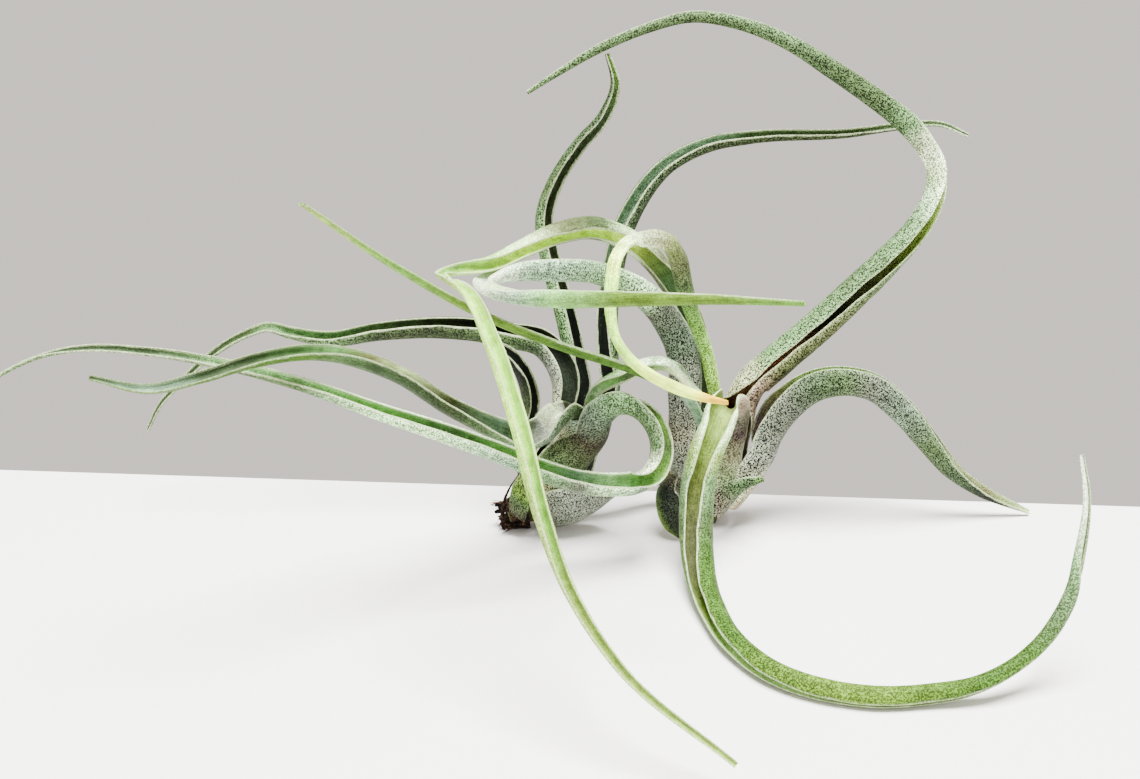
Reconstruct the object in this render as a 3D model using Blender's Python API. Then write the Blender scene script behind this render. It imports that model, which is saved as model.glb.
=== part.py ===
"""A two-headed air plant: channelled leaves that spring from two bulbous heads on one stem.

World frame: +X right, +Y away from the front, +Z up, origin at the middle of the flat foot of the right-hand
head. The tables are in millimetres, in a frame whose X and Y are moved by FOOT; meshes are made in metres.
"""

import math
import random
from collections import namedtuple

import bmesh
import bpy
import numpy as np

MM = 0.001
FOOT = np.array((4.0, 2.0, 0.0))  # the middle of the flat foot, as the tables place it

LEFT, RIGHT = np.array((-1.0, 0, 0)), np.array((1.0, 0, 0))
FRONT, BACK = np.array((0, -1.0, 0)), np.array((0, 1.0, 0))
DOWN, UP = np.array((0, 0, -1.0)), np.array((0, 0, 1.0))

# One row of a leaf's table: the middle of the blade, its full width, half the arc that the blade wraps round
# its channel in degrees (90 is a half pipe, 180 a closed tube) and roughly where the channel faces.
Row = namedtuple("Row", "x y z width arc facing")

SHEATH_WALL = 0.9  # thickness of a sheath, where the leaf is wider than SHEATH_WIDTH
SHEATH_WIDTH = 10.6
BLADE_WALL = 1.3  # thickness of a blade at its middle
LEAST_WALL = 0.7  # at its rims
WALL_SHARE = 0.62  # the most of its radius that the wall of a thin tip takes

SIDES = 6  # points across each face of a blade
LONGEST_STEP = 7.0  # between two cross-sections on a straight stretch
TURN_STEP = math.radians(15)  # and the most that the blade turns between two
FINE = 40  # samples to a row while the curve is measured
SHARP = math.radians(50)  # edges sharper than this keep their crease
LEAF_ROUGHNESS = 0.75
HUSK_ROUGHNESS = 0.9

# A head's axis: the middle of its nested sheaths, from the foot to the crown.
RIGHT_AXIS = ((4, 2, 0), (11, 2, 36))
LEFT_AXIS = ((-39, 0, 2), (-37, 0, 10), (-34.5, -0.5, 20), (-30.5, -1, 28), (-27, -1, 35))


def wrap(axis, height, radius, arc, facing):
    """A row that is wrapped round a head's axis at a height."""
    heights = [point[2] for point in axis]
    x = np.interp(height, heights, [point[0] for point in axis])
    y = np.interp(height, heights, [point[1] for point in axis])
    return Row(x, y, height, 2 * radius, arc, facing)


def smooth(values, spacing, at):
    """Catmull-Rom values at the fractional places, through values that lie spacing apart."""
    values = np.asarray(values, float)
    knots = np.concatenate([[0.0], np.cumsum(spacing)])
    slopes = np.gradient(values, knots, axis=0)
    i = np.clip(np.searchsorted(knots, at, side="right") - 1, 0, len(knots) - 2)
    width = knots[i + 1] - knots[i]
    s = (at - knots[i]) / width
    s, width = s[:, None], width[:, None]
    a, b, da, db = values[i], values[i + 1], slopes[i] * width, slopes[i + 1] * width
    return (
        (2 * s**3 - 3 * s**2 + 1) * a
        + (s**3 - 2 * s**2 + s) * da
        + (3 * s**2 - 2 * s**3) * b
        + (s**3 - s**2) * db
    )


def placed(point):
    """A point of the tables as a point of the world, in metres."""
    return (point - FOOT) * MM


def unit(vectors):
    return vectors / np.linalg.norm(vectors, axis=-1, keepdims=True)


def square_to(vectors, tangent):
    return unit(vectors - (vectors * tangent).sum(1, keepdims=True) * tangent)


def keel_of(rows):
    """The keel, the line down the back of the blade, with what the rows say square to it."""
    middle = np.array([(r.x, r.y, r.z) for r in rows], float)
    rough = unit(np.array([r.facing for r in rows], float))
    radius = np.array([r.width / 2 for r in rows])[:, None]
    facing = rough
    for _ in range(3):
        keel = middle - radius * facing
        facing = square_to(rough, unit(np.gradient(keel, axis=0)))
    return middle - radius * facing, facing


def stations(rows):
    """Cross-sections along a leaf, square to its keel: middle, tangent, facing, outer radius and half arc."""
    keel, facing = keel_of(rows)
    spacing = np.linalg.norm(np.diff(keel, axis=0), axis=1)
    at = np.linspace(0, spacing.sum(), FINE * len(rows))
    keel = smooth(keel, spacing, at)
    tangent = unit(np.gradient(keel, at, axis=0))
    facing = square_to(smooth(facing, spacing, at), tangent)
    radius = smooth([[r.width / 2] for r in rows], spacing, at)[:, 0]
    arc = smooth([[math.radians(r.arc)] for r in rows], spacing, at)[:, 0]
    line = keel + radius[:, None] * facing
    step = np.linalg.norm(np.diff(line, axis=0), axis=1)
    turn = np.arccos(np.clip((tangent[1:] * tangent[:-1]).sum(1), -1, 1))
    cost = np.concatenate([[0.0], np.cumsum(np.hypot(step / LONGEST_STEP, turn / TURN_STEP))])
    count = max(8, math.ceil(cost[-1]) + 1)
    pick = np.interp(np.linspace(0, cost[-1], count), cost, np.arange(len(cost))).round().astype(int)
    return line[pick], tangent[pick], facing[pick], radius[pick], arc[pick]


def section(radius, arc, is_sheath):
    """Angle and distance from the middle for each point of one cross-section, outer face then inner face."""
    wall = min(SHEATH_WALL if is_sheath else BLADE_WALL, WALL_SHARE * radius)
    angles = np.linspace(-arc, arc, SIDES)
    rim = np.cos(angles / arc * math.pi / 2)  # 0 at both rims, 1 at the back
    thick = LEAST_WALL + (wall - LEAST_WALL) * rim if wall > LEAST_WALL else np.full(SIDES, wall)
    distance = np.concatenate([np.full(SIDES, radius), (radius - thick)[::-1]])
    return np.concatenate([angles, angles[::-1]]), distance


def leaf_mesh(name, rows):
    """One closed body: the C-shaped cross-section swept along the rows."""
    line, tangent, facing, radius, arc = stations(rows)
    across = np.cross(tangent, facing)
    bm = bmesh.new()
    rings = []
    for i in range(len(line)):
        angles, distance = section(radius[i], arc[i], 2 * radius[i] > SHEATH_WIDTH)
        points = line[i] + distance[:, None] * (
            -np.cos(angles)[:, None] * facing[i] + np.sin(angles)[:, None] * across[i]
        )
        rings.append([bm.verts.new(placed(p)) for p in points])
    around = 2 * SIDES
    for ring, following in zip(rings, rings[1:]):
        for k in range(around):
            a, b = ring[k], ring[(k + 1) % around]
            c, d = following[(k + 1) % around], following[k]
            if k < SIDES:
                bm.faces.new((a, b, c))
                bm.faces.new((a, c, d))
            else:
                bm.faces.new((a, b, d))
                bm.faces.new((b, c, d))
    for ring in (rings[0], rings[-1]):
        for k in range(SIDES - 1):
            bm.faces.new((ring[k], ring[k + 1], ring[around - 2 - k], ring[around - 1 - k]))
    bmesh.ops.recalc_face_normals(bm, faces=bm.faces)
    mesh = bpy.data.meshes.new(name)
    bm.to_mesh(mesh)
    bm.free()
    return mesh


def material(name, colour, roughness):
    made = bpy.data.materials.new(name)
    made.use_nodes = True
    shader = made.node_tree.nodes["Principled BSDF"]
    shader.inputs["Base Color"].default_value = (*colour, 1.0)
    shader.inputs["Roughness"].default_value = roughness
    shader.inputs["Metallic"].default_value = 0.0
    return made


def add(name, mesh, colour, roughness=LEAF_ROUGHNESS):
    piece = bpy.data.objects.new(name, mesh)
    piece.data.materials.append(material(name, colour, roughness))
    mesh.shade_smooth()
    mesh.set_sharp_from_angle(angle=SHARP)
    bpy.context.scene.collection.objects.link(piece)
    return piece


# Each leaf runs from the end that wraps the stem to its free tip. The first seven, leaf_hooked and
# scale_right spring from the right-hand head, and the others from the left-hand head.
LEAVES = {
    "leaf_back_loop": [
        wrap(RIGHT_AXIS, 11, 7.4, 58, FRONT + 0.5 * LEFT),
        wrap(RIGHT_AXIS, 20, 6.3, 62, FRONT + 0.5 * LEFT),
        wrap(RIGHT_AXIS, 28, 5.4, 78, FRONT + 0.9 * LEFT),
        Row(11.4, 4.2, 32.8, 9.4, 130, FRONT + LEFT),
        Row(14.2, 4.2, 37.6, 9.0, 172, FRONT + 0.3 * LEFT + 0.1 * UP),
        Row(20, 4.4, 43.4, 8.8, 170, FRONT + 0.25 * LEFT + 0.2 * UP),
        Row(32.3, 6, 54.3, 8.3, 169, FRONT + 0.1 * LEFT + 0.15 * UP),
        Row(40, 7.5, 61.6, 8.0, 164, FRONT + 0.1 * UP),
        Row(47.4, 9, 68.9, 7.3, 157, FRONT + 0.3 * RIGHT),
        Row(54.4, 10.5, 76.8, 6.3, 150, FRONT + 0.65 * RIGHT),
        Row(57.9, 11.5, 84.3, 5.6, 146, RIGHT + 0.8 * FRONT),
        Row(58.4, 12, 89.6, 5.2, 142, RIGHT + 0.2 * FRONT),
        Row(55.9, 12, 94.9, 5.1, 140, RIGHT + 0.6 * BACK + 0.4 * UP),
        Row(50.1, 12, 101.6, 5.4, 135, RIGHT + UP + BACK),
        Row(42.4, 12, 107.2, 5.0, 130, UP + BACK + 0.5 * RIGHT),
        Row(30.6, 12, 114.6, 4.4, 130, UP + BACK),
        Row(18.9, 12, 121.2, 3.6, 125, UP + BACK),
        Row(7.6, 12, 125.2, 3.1, 120, UP + BACK),
        Row(-3.5, 12, 126.6, 2.8, 120, UP + BACK),
        Row(-14.4, 12, 123.9, 2.5, 115, UP + BACK),
        Row(-25.5, 12, 119.3, 2.3, 110, UP + BACK),
        Row(-34.3, 12, 114.3, 1.7, 105, UP + BACK),
        Row(-42.4, 12, 109.3, 1.1, 100, UP + BACK),
    ],
    "leaf_pale_loop": [
        Row(8.6, 2, 23.5, 2.6, 80, BACK),
        Row(7.2, 1.8, 29, 2.8, 85, BACK),
        Row(5.2, 2.1, 34.3, 3.1, 95, BACK),
        Row(3.8, 0.5, 39.6, 3.4, 105, BACK + 0.2 * RIGHT),
        Row(1.3, -3.3, 49.1, 3.4, 115, BACK + 0.4 * RIGHT),
        Row(-2.6, -8, 59, 3.6, 125, BACK + 0.4 * RIGHT),
        Row(-5.9, -14, 69, 4.2, 130, BACK + 0.2 * RIGHT),
        Row(-7.8, -18, 75.8, 4.4, 130, BACK),
        Row(-10.6, -23, 80.4, 4.2, 130, BACK + DOWN),
        Row(-14.8, -27, 82.4, 3.8, 130, DOWN + BACK),
        Row(-19.2, -31.5, 82.6, 3.2, 130, DOWN + RIGHT),
        Row(-22.4, -36, 80, 2.9, 120, RIGHT + BACK),
        Row(-23.4, -40, 75.5, 3.1, 115, RIGHT + BACK),
        Row(-23.7, -43.5, 70.8, 2.6, 110, RIGHT + BACK),
        Row(-22.6, -46, 66, 2.4, 110, RIGHT + UP + BACK),
        Row(-19.8, -48, 62, 2.5, 110, UP + BACK),
        Row(-15.2, -50, 59, 2.8, 105, UP + BACK),
        Row(-9.7, -52, 56.9, 3.0, 105, UP + BACK),
        Row(-5.5, -54, 56, 2.4, 105, UP + BACK),
        Row(-0.4, -56, 55.4, 1.2, 100, UP + BACK),
    ],
    "leaf_kinked": [
        wrap(RIGHT_AXIS, 12, 8.6, 28, FRONT + 0.6 * RIGHT),
        Row(3.5, 7.5, 26, 6.4, 75, FRONT + 0.6 * RIGHT),
        Row(1.5, 8.2, 42, 6.4, 95, FRONT + 0.5 * RIGHT),
        Row(-1.5, 6.8, 54, 6.2, 115, FRONT + 0.4 * RIGHT),
        Row(-7.4, 4, 64.5, 5.8, 130, FRONT + 0.3 * RIGHT),
        Row(-12.6, 0, 71.6, 5.6, 140, FRONT),
        Row(-18.8, -6, 77.5, 5.4, 148, FRONT),
        Row(-25.8, -12, 81.3, 5.4, 150, FRONT + 0.2 * DOWN),
        Row(-35.8, -25, 82.6, 4.8, 150, FRONT + 0.2 * DOWN),
        Row(-42.5, -36, 81.8, 4.0, 140, FRONT + 0.1 * DOWN),
        Row(-48.8, -46, 81.1, 3.2, 120, FRONT),
        Row(-54.6, -52, 81.6, 2.5, 95, FRONT + 0.6 * UP),
        Row(-57, -55.6, 82, 2.3, 85, FRONT + UP),
        Row(-55, -58.6, 81.6, 2.5, 85, UP + RIGHT),
        Row(-51, -60.5, 78.6, 2.9, 100, FRONT + 0.5 * RIGHT),
        Row(-47, -64, 71, 3.4, 125, FRONT + 0.5 * RIGHT),
        Row(-42, -71, 58, 3.7, 140, FRONT + 0.5 * RIGHT),
        Row(-37, -80, 41, 3.3, 140, FRONT + UP + 0.5 * RIGHT),
        Row(-32, -87, 30, 2.6, 130, FRONT + UP),
        Row(-23, -95, 19, 2.0, 120, UP + FRONT),
        Row(-3, -105, 6, 1.2, 100, UP + FRONT),
    ],
    "leaf_folded": [
        wrap(RIGHT_AXIS, 8, 8.2, 44, RIGHT + 0.2 * BACK),
        wrap(RIGHT_AXIS, 13, 12.0, 48, RIGHT + 0.2 * BACK),
        Row(2.5, 0.5, 20, 18, 54, RIGHT + 0.3 * BACK),
        Row(-2.6, -1.5, 28, 9.2, 95, RIGHT + 0.3 * BACK),
        Row(-3.3, -1.2, 37, 8.6, 125, BACK + RIGHT),
        Row(-3.6, -1.4, 45, 8.2, 140, BACK + RIGHT),
        Row(-5.1, -2, 50.5, 7.9, 142, BACK + RIGHT),
        Row(-7.9, -3.4, 56, 7.4, 142, BACK + RIGHT + 0.3 * UP),
        Row(-11.6, -6.2, 61.6, 7.0, 142, BACK + RIGHT + UP),
        Row(-16.6, -10.4, 66.6, 6.4, 142, BACK + UP + 0.5 * RIGHT),
        Row(-23.7, -16, 71.2, 5.4, 142, BACK + UP),
        Row(-35.8, -31, 76.3, 5.0, 140, BACK + UP),
        Row(-42.5, -39, 78.1, 4.4, 130, BACK + UP),
        Row(-47.4, -45.5, 78.9, 3.8, 112, UP + 0.5 * BACK),
        Row(-49.6, -51, 79, 3.4, 105, UP + 0.1 * LEFT),
        Row(-47.6, -56, 78.9, 3.6, 108, UP),
        Row(-41.5, -62, 79.1, 3.7, 120, UP + 0.4 * BACK),
        Row(-35.2, -66, 79.7, 3.7, 130, UP + 0.7 * BACK),
        Row(-23.2, -74, 81.8, 3.0, 130, UP + BACK),
        Row(-6.8, -84, 84.5, 2.0, 115, UP + BACK),
        Row(6.1, -91, 85.8, 1.2, 100, UP + BACK),
    ],
    "leaf_slim": [
        Row(2.4, -5.9, 13, 2.2, 80, BACK),
        Row(1.8, -7.0, 22, 2.2, 80, BACK),
        Row(0.2, -8.9, 32, 2.4, 90, BACK + UP),
        Row(-4.8, -13.6, 41.7, 2.8, 105, UP + BACK),
        Row(-16, -23, 50.5, 2.7, 115, UP),
        Row(-34, -33, 60, 2.6, 120, UP),
        Row(-51, -43, 70.5, 2.4, 120, UP),
        Row(-65, -56, 83, 1.9, 110, UP),
        Row(-77, -80, 100, 1.1, 100, UP),
    ],
    "leaf_front_arc": [
        wrap(RIGHT_AXIS, 11, 7.4, 52, BACK + 0.3 * RIGHT),
        wrap(RIGHT_AXIS, 19, 6.4, 54, BACK + 0.3 * RIGHT),
        wrap(RIGHT_AXIS, 27, 5.2, 58, BACK + 0.2 * RIGHT),
        Row(9.8, -1.7, 33, 7.0, 88, BACK),
        Row(8.2, -5.8, 37.2, 7.4, 105, UP + 0.4 * BACK),
        Row(5.6, -10.6, 37.4, 8.0, 122, UP + 0.5 * FRONT),
        Row(3.2, -15, 33.4, 8.2, 142, FRONT + 0.4 * UP + 0.2 * LEFT),
        Row(0.6, -17.4, 28, 8.3, 153, FRONT + 0.2 * LEFT),
        Row(-1, -19.2, 22, 8.3, 153, FRONT + 0.25 * LEFT),
        Row(-2, -25, 13, 8.3, 156, FRONT + 0.25 * LEFT),
        Row(-2, -35, 6.1, 7.4, 155, FRONT + 0.3 * LEFT + 0.2 * UP),
        Row(-0.5, -48, 3.25, 6.2, 154, FRONT + 0.7 * LEFT + 0.4 * UP),
        Row(3, -62, 2.8, 5.3, 155, LEFT + FRONT + 0.2 * UP),
        Row(9.5, -72, 2.6, 4.9, 160, FRONT + 0.6 * LEFT + 0.2 * DOWN),
        Row(17.5, -77, 2.4, 4.6, 166, FRONT + 0.2 * LEFT + 0.5 * DOWN),
        Row(27, -79.5, 2.3, 4.4, 168, FRONT + 0.5 * DOWN),
        Row(39, -79, 2.55, 4.1, 164, FRONT + 0.6 * DOWN),
        Row(50, -78, 4.6, 3.6, 145, DOWN + FRONT),
        Row(60, -74, 8.5, 3.4, 135, DOWN + RIGHT + FRONT),
        Row(67, -70, 16, 3.1, 125, RIGHT + DOWN),
        Row(70.5, -66, 25, 2.8, 115, RIGHT + FRONT),
        Row(72, -62, 37, 1.9, 105, RIGHT + FRONT),
        Row(70.5, -60, 45.5, 1.1, 100, RIGHT + FRONT),
    ],
    "leaf_drooping": [
        wrap(RIGHT_AXIS, 10, 8.2, 52, LEFT + 0.2 * BACK),
        wrap(RIGHT_AXIS, 15, 10.2, 52, LEFT + 0.3 * BACK),
        Row(15.4, -1.2, 21.6, 10.4, 106, LEFT + 0.35 * BACK),
        Row(18.2, -1, 28.5, 9.8, 126, LEFT + 0.6 * UP + 0.1 * BACK),
        Row(23, -1, 34.6, 9.0, 152, UP + LEFT + 0.2 * FRONT),
        Row(29, -1, 39, 8.2, 163, UP + 0.3 * LEFT),
        Row(36, -0.6, 40.2, 7.6, 165, UP),
        Row(43, 0, 38.8, 7.2, 165, UP + 0.3 * RIGHT + 0.1 * FRONT),
        Row(52, 1, 32, 6.8, 164, UP + RIGHT + 0.2 * FRONT),
        Row(60, 2, 23, 6.0, 162, UP + RIGHT + 0.5 * FRONT),
        Row(67, 3, 14.9, 5.0, 158, UP + RIGHT + FRONT),
        Row(78, 4, 7, 3.4, 140, UP + 0.6 * RIGHT + 1.2 * FRONT),
        Row(90.5, 5, 1.1, 1.2, 100, UP + 0.5 * RIGHT + FRONT),
    ],
    "leaf_rear_s": [
        wrap(LEFT_AXIS, 13, 8.9, 16, FRONT),
        Row(-31.5, 7.5, 24, 4.6, 70, FRONT),
        Row(-28.6, 9.8, 34, 5.3, 98, FRONT + RIGHT),
        Row(-31, 12, 44, 5.8, 125, RIGHT + 0.7 * FRONT),
        Row(-33.5, 13.5, 54.5, 5.6, 135, RIGHT + 0.7 * FRONT),
        Row(-36.5, 15, 65, 5.2, 135, RIGHT + 0.8 * FRONT),
        Row(-38.5, 16, 79, 4.6, 135, FRONT + RIGHT),
        Row(-35.5, 16, 87.5, 4.2, 130, FRONT + RIGHT),
        Row(-29.5, 16, 96.5, 3.8, 125, FRONT + RIGHT),
        Row(-23.5, 16, 103.5, 3.3, 120, FRONT + RIGHT),
        Row(-21, 16, 111, 2.6, 110, FRONT + RIGHT),
        Row(-23, 17, 118, 1.4, 100, FRONT + RIGHT),
    ],
    "leaf_rear_right": [
        wrap(LEFT_AXIS, 14, 8.9, 20, LEFT + 0.5 * FRONT),
        Row(-26, 2.5, 25, 5.6, 70, LEFT + 0.7 * FRONT),
        Row(-22, 4.5, 36, 5.4, 100, LEFT + FRONT),
        Row(-22.5, 8, 46, 5.6, 125, LEFT + FRONT),
        Row(-22.5, 11, 55, 5.6, 138, LEFT + FRONT),
        Row(-21.5, 13, 63, 5.6, 142, FRONT + LEFT + 0.2 * UP),
        Row(-17.5, 15, 78, 5.5, 145, FRONT + 0.6 * LEFT + 0.6 * UP),
        Row(-7, 16, 92, 4.4, 145, FRONT + UP),
        Row(2.5, 16, 96.5, 3.9, 145, FRONT + UP),
        Row(12.5, 17, 98, 3.4, 140, FRONT + UP),
        Row(37, 17.5, 99, 2.4, 130, FRONT + UP),
        Row(49.5, 18, 100.5, 1.9, 110, FRONT + UP),
        Row(60.5, 18, 101, 1.5, 100, FRONT + UP),
        Row(66.5, 17, 98.5, 1.1, 100, FRONT + UP),
    ],
    "leaf_long_left": [
        wrap(LEFT_AXIS, 12, 8.9, 46, RIGHT + 0.35 * FRONT),
        wrap(LEFT_AXIS, 19, 7.6, 52, RIGHT + 0.4 * FRONT),
        Row(-33.5, 1.5, 29, 8.2, 85, RIGHT + 0.6 * FRONT),
        Row(-33.5, 5, 40, 7.8, 118, UP + RIGHT + 0.7 * FRONT),
        Row(-38.5, 9, 46.5, 7.4, 138, UP + 0.7 * FRONT + 0.4 * RIGHT),
        Row(-47.5, 11, 48.5, 6.9, 148, UP + 0.7 * FRONT),
        Row(-65.5, 13, 50, 5.8, 150, UP + 0.7 * FRONT),
        Row(-81.5, 13, 49, 5.0, 148, UP + 0.7 * FRONT),
        Row(-94.5, 13, 47, 4.2, 140, UP + 0.8 * FRONT),
        Row(-104.5, 12, 49, 3.3, 125, UP + FRONT),
        Row(-110.5, 12, 50.5, 2.7, 105, UP + FRONT),
        Row(-115, 12, 49, 2.4, 110, UP + FRONT),
        Row(-125.5, 11, 43, 2.1, 115, UP + FRONT),
        Row(-133, 11, 36.5, 1.8, 105, UP + FRONT),
        Row(-140, 10, 29.5, 1.5, 100, LEFT + FRONT),
        Row(-144, 10, 22.5, 1.1, 100, LEFT + FRONT),
    ],
    "leaf_short_dark": [
        wrap(LEFT_AXIS, 13, 9.8, 16, RIGHT + 0.5 * FRONT),
        Row(-42.6, 3.6, 23, 5.0, 66, RIGHT + 0.5 * FRONT),
        Row(-41.8, 1.8, 30.8, 5.0, 105, RIGHT + 0.7 * FRONT),
        Row(-42.2, 0, 37.1, 4.8, 125, RIGHT + 0.3 * UP + 0.7 * FRONT),
        Row(-43.8, -1.5, 42.9, 4.4, 125, RIGHT + 0.7 * UP + 0.7 * FRONT),
        Row(-46.8, -3, 48.1, 3.4, 110, UP + RIGHT + FRONT),
        Row(-52, -5, 52, 1.4, 95, UP + FRONT),
    ],
    "leaf_coiled": [
        wrap(LEFT_AXIS, 12, 8.9, 62, BACK + 0.2 * LEFT),
        wrap(LEFT_AXIS, 19, 8.2, 62, BACK + 0.3 * LEFT),
        Row(-27.2, -5, 28, 9.6, 80, BACK + 0.5 * LEFT),
        Row(-24.5, -9.5, 35.5, 7.6, 105, BACK + 0.3 * LEFT),
        Row(-19.8, -12.9, 39.3, 6.4, 118, BACK + UP),
        Row(-14.8, -15.8, 38.6, 6.0, 121, UP + RIGHT),
        Row(-11.5, -18.6, 35.2, 5.8, 127, RIGHT + 0.4 * UP + 0.4 * FRONT),
        Row(-10.3, -21, 30.8, 5.8, 129, RIGHT + 0.8 * FRONT),
        Row(-11.6, -23.2, 26.2, 5.8, 131, FRONT + 0.8 * RIGHT + 0.2 * UP),
        Row(-16.2, -25, 23.8, 5.8, 134, FRONT + 0.8 * UP),
        Row(-22.5, -27, 23.9, 5.7, 140, UP + 0.9 * FRONT),
        Row(-30, -29, 25.6, 5.6, 145, UP + 0.7 * FRONT),
        Row(-39, -32, 30, 5.2, 148, UP + 0.7 * FRONT),
        Row(-48, -34, 35, 4.9, 150, UP + 0.7 * FRONT),
        Row(-58.5, -37, 40.5, 4.6, 150, UP + 0.7 * FRONT),
        Row(-73, -41, 47.5, 3.9, 145, UP + 0.7 * FRONT),
        Row(-88, -47, 56, 3.1, 135, UP + 0.7 * FRONT),
        Row(-100, -53, 62, 2.5, 125, UP + FRONT),
        Row(-114, -59, 67, 1.9, 110, UP + FRONT),
        Row(-125, -63, 69, 1.5, 100, UP + FRONT),
        Row(-133, -65, 68, 1.3, 100, UP),
        Row(-142, -68, 64, 1.1, 100, UP),
    ],
    "leaf_lower_left": [
        wrap(LEFT_AXIS, 20, 5.0, 50, RIGHT + 0.6 * BACK),
        Row(-31.6, -1.5, 25.5, 7.8, 60, RIGHT + 0.6 * BACK),
        Row(-29.1, -2.9, 31.2, 7.0, 73, RIGHT + 0.6 * BACK + 0.3 * UP),
        Row(-31, -5.2, 35.1, 6.7, 85, RIGHT + 0.6 * BACK + 1.5 * UP),
        Row(-34.4, -8.1, 35.5, 7.5, 98, UP),
        Row(-38.4, -11.6, 32.1, 7.7, 102, UP + 0.6 * FRONT + 0.3 * LEFT),
        Row(-43.3, -14, 30.4, 7.1, 112, UP + FRONT),
        Row(-49, -16.4, 33.5, 5.8, 126, UP + 0.9 * FRONT),
        Row(-60, -23, 42, 4.6, 142, UP + 0.7 * FRONT),
        Row(-70, -31, 52.5, 4.2, 145, UP + 0.7 * FRONT),
        Row(-75.5, -36, 57, 4.1, 145, UP + 0.7 * FRONT),
        Row(-81, -41, 60.5, 3.8, 140, UP + 0.8 * FRONT),
        Row(-87, -48, 63.2, 3.4, 130, UP + FRONT),
        Row(-95, -56, 64, 3.0, 120, UP + FRONT),
        Row(-103, -63, 63.2, 2.6, 110, UP + FRONT),
        Row(-111.5, -68, 62.6, 2.1, 105, UP + FRONT),
        Row(-120, -73, 66.6, 1.1, 100, UP + FRONT),
    ],
    "leaf_small_arch": [
        Row(-31.2, 1.2, 23.2, 2.2, 85, FRONT),
        Row(-28.6, 0.6, 29, 2.4, 85, FRONT),
        Row(-26.4, -1.5, 36.6, 2.8, 95, FRONT),
        Row(-23.5, -8, 42, 3.4, 110, FRONT),
        Row(-19.5, -12, 45.6, 3.8, 120, FRONT + 0.5 * DOWN),
        Row(-15.2, -16, 49.2, 3.8, 125, FRONT + 0.8 * DOWN),
        Row(-11, -18, 50.6, 3.6, 125, FRONT + DOWN),
        Row(-7, -19, 49.2, 3.2, 120, FRONT + DOWN),
        Row(-3.5, -19, 45, 2.2, 105, FRONT + LEFT),
        Row(-1, -19, 43, 1.2, 95, FRONT + LEFT),
    ],
    "leaf_hooked": [
        Row(-4.7, -3.6, 14.4, 4.2, 60, RIGHT + 0.4 * BACK),
        Row(-6.2, -4.8, 11.4, 7.2, 78, RIGHT + 0.5 * BACK),
        Row(-6.3, -5.9, 8, 7.6, 90, RIGHT + 0.6 * BACK),
        Row(-5.2, -7.2, 4.2, 6.0, 96, RIGHT + 0.8 * BACK),
        Row(-4, -8.6, 1, 1.6, 90, RIGHT + BACK),
    ],
    "scale_right": [
        Row(3.2, -4.9, 8.6, 10.8, 50, BACK + 0.3 * UP),
        Row(6, -6.2, 12, 8.8, 60, BACK + 0.4 * UP),
        Row(9.2, -7.8, 15.0, 6.0, 66, BACK + 0.4 * UP),
        Row(12.5, -9.2, 16.8, 3.6, 78, BACK + 0.4 * UP),
        Row(16.2, -10, 17.6, 1.4, 90, BACK + 0.4 * UP),
    ],
    "scale_silver": [
        Row(-40, -1, 9.8, 18, 56, UP + 1.2 * BACK),
        Row(-37, -1.1, 10.8, 20.0, 58, UP + 1.2 * BACK),
        Row(-33, -1.1, 12.1, 20.4, 56, UP + 1.2 * BACK),
        Row(-27.5, -1.5, 13.6, 16, 46, UP + 1.2 * BACK),
        Row(-22.5, -3, 13.2, 8, 24, UP + 1.2 * BACK),
    ],
    "scale_green": [
        wrap(LEFT_AXIS, 5.5, 12.0, 13, RIGHT + 1.1 * BACK),
        wrap(LEFT_AXIS, 10, 12.6, 16, RIGHT + 1.1 * BACK),
        wrap(LEFT_AXIS, 16, 11.0, 12, RIGHT + 1.1 * BACK),
    ],
}

COLOURS = {
    "leaf_back_loop": (0.23, 0.30, 0.16),
    "leaf_pale_loop": (0.55, 0.60, 0.30),
    "leaf_kinked": (0.45, 0.52, 0.20),
    "leaf_folded": (0.42, 0.48, 0.42),
    "leaf_slim": (0.20, 0.34, 0.12),
    "leaf_front_arc": (0.34, 0.42, 0.12),
    "leaf_drooping": (0.26, 0.32, 0.24),
    "leaf_rear_s": (0.14, 0.26, 0.12),
    "leaf_rear_right": (0.14, 0.26, 0.12),
    "leaf_long_left": (0.16, 0.24, 0.14),
    "leaf_short_dark": (0.07, 0.12, 0.06),
    "leaf_coiled": (0.32, 0.44, 0.26),
    "leaf_lower_left": (0.30, 0.40, 0.16),
    "leaf_small_arch": (0.32, 0.40, 0.28),
    "leaf_hooked": (0.14, 0.28, 0.08),
    "scale_right": (0.24, 0.28, 0.14),
    "scale_silver": (0.42, 0.44, 0.38),
    "scale_green": (0.30, 0.34, 0.10),
}
STEM_COLOUR = (0.34, 0.30, 0.16)
HUSK_COLOUR = (0.16, 0.09, 0.05)


# The stem and the dry husk round its old end are round tubes, with a centre and a radius at each row.
Ring = namedtuple("Ring", "x y z radius")

STEM_SIDES = 12
# The stem is the cores of both heads, the old end they grew from and the runner that joins them.
RIGHT_STEM = [
    Ring(4, 2, 0, 2.6),
    Ring(4, 2, 3, 3.6),
    Ring(4.8, 2, 6.5, 5.6),
    Ring(5.8, 2, 9.5, 6.8),
    Ring(6.3, 2, 12, 5.8),
    Ring(7.5, 2, 18, 3.6),
    Ring(8.4, 2, 22.5, 1.4),
]
LEFT_STEM = [
    Ring(-38.4, 0.2, 3, 4.8),
    Ring(-37.9, 0.1, 7, 6.9),
    Ring(-36.6, -0.1, 12, 7.7),
    Ring(-35.6, -0.3, 16, 6.4),
    Ring(-34.5, -0.5, 20, 3.6),
    Ring(-32.6, -0.6, 24, 1.2),
]
OLD_END = [
    Ring(-48, -3, 4.3, 2.6),
    Ring(-43.5, -1.8, 5.4, 3.7),
    Ring(-38, -0.5, 8, 4.6),
]
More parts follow.
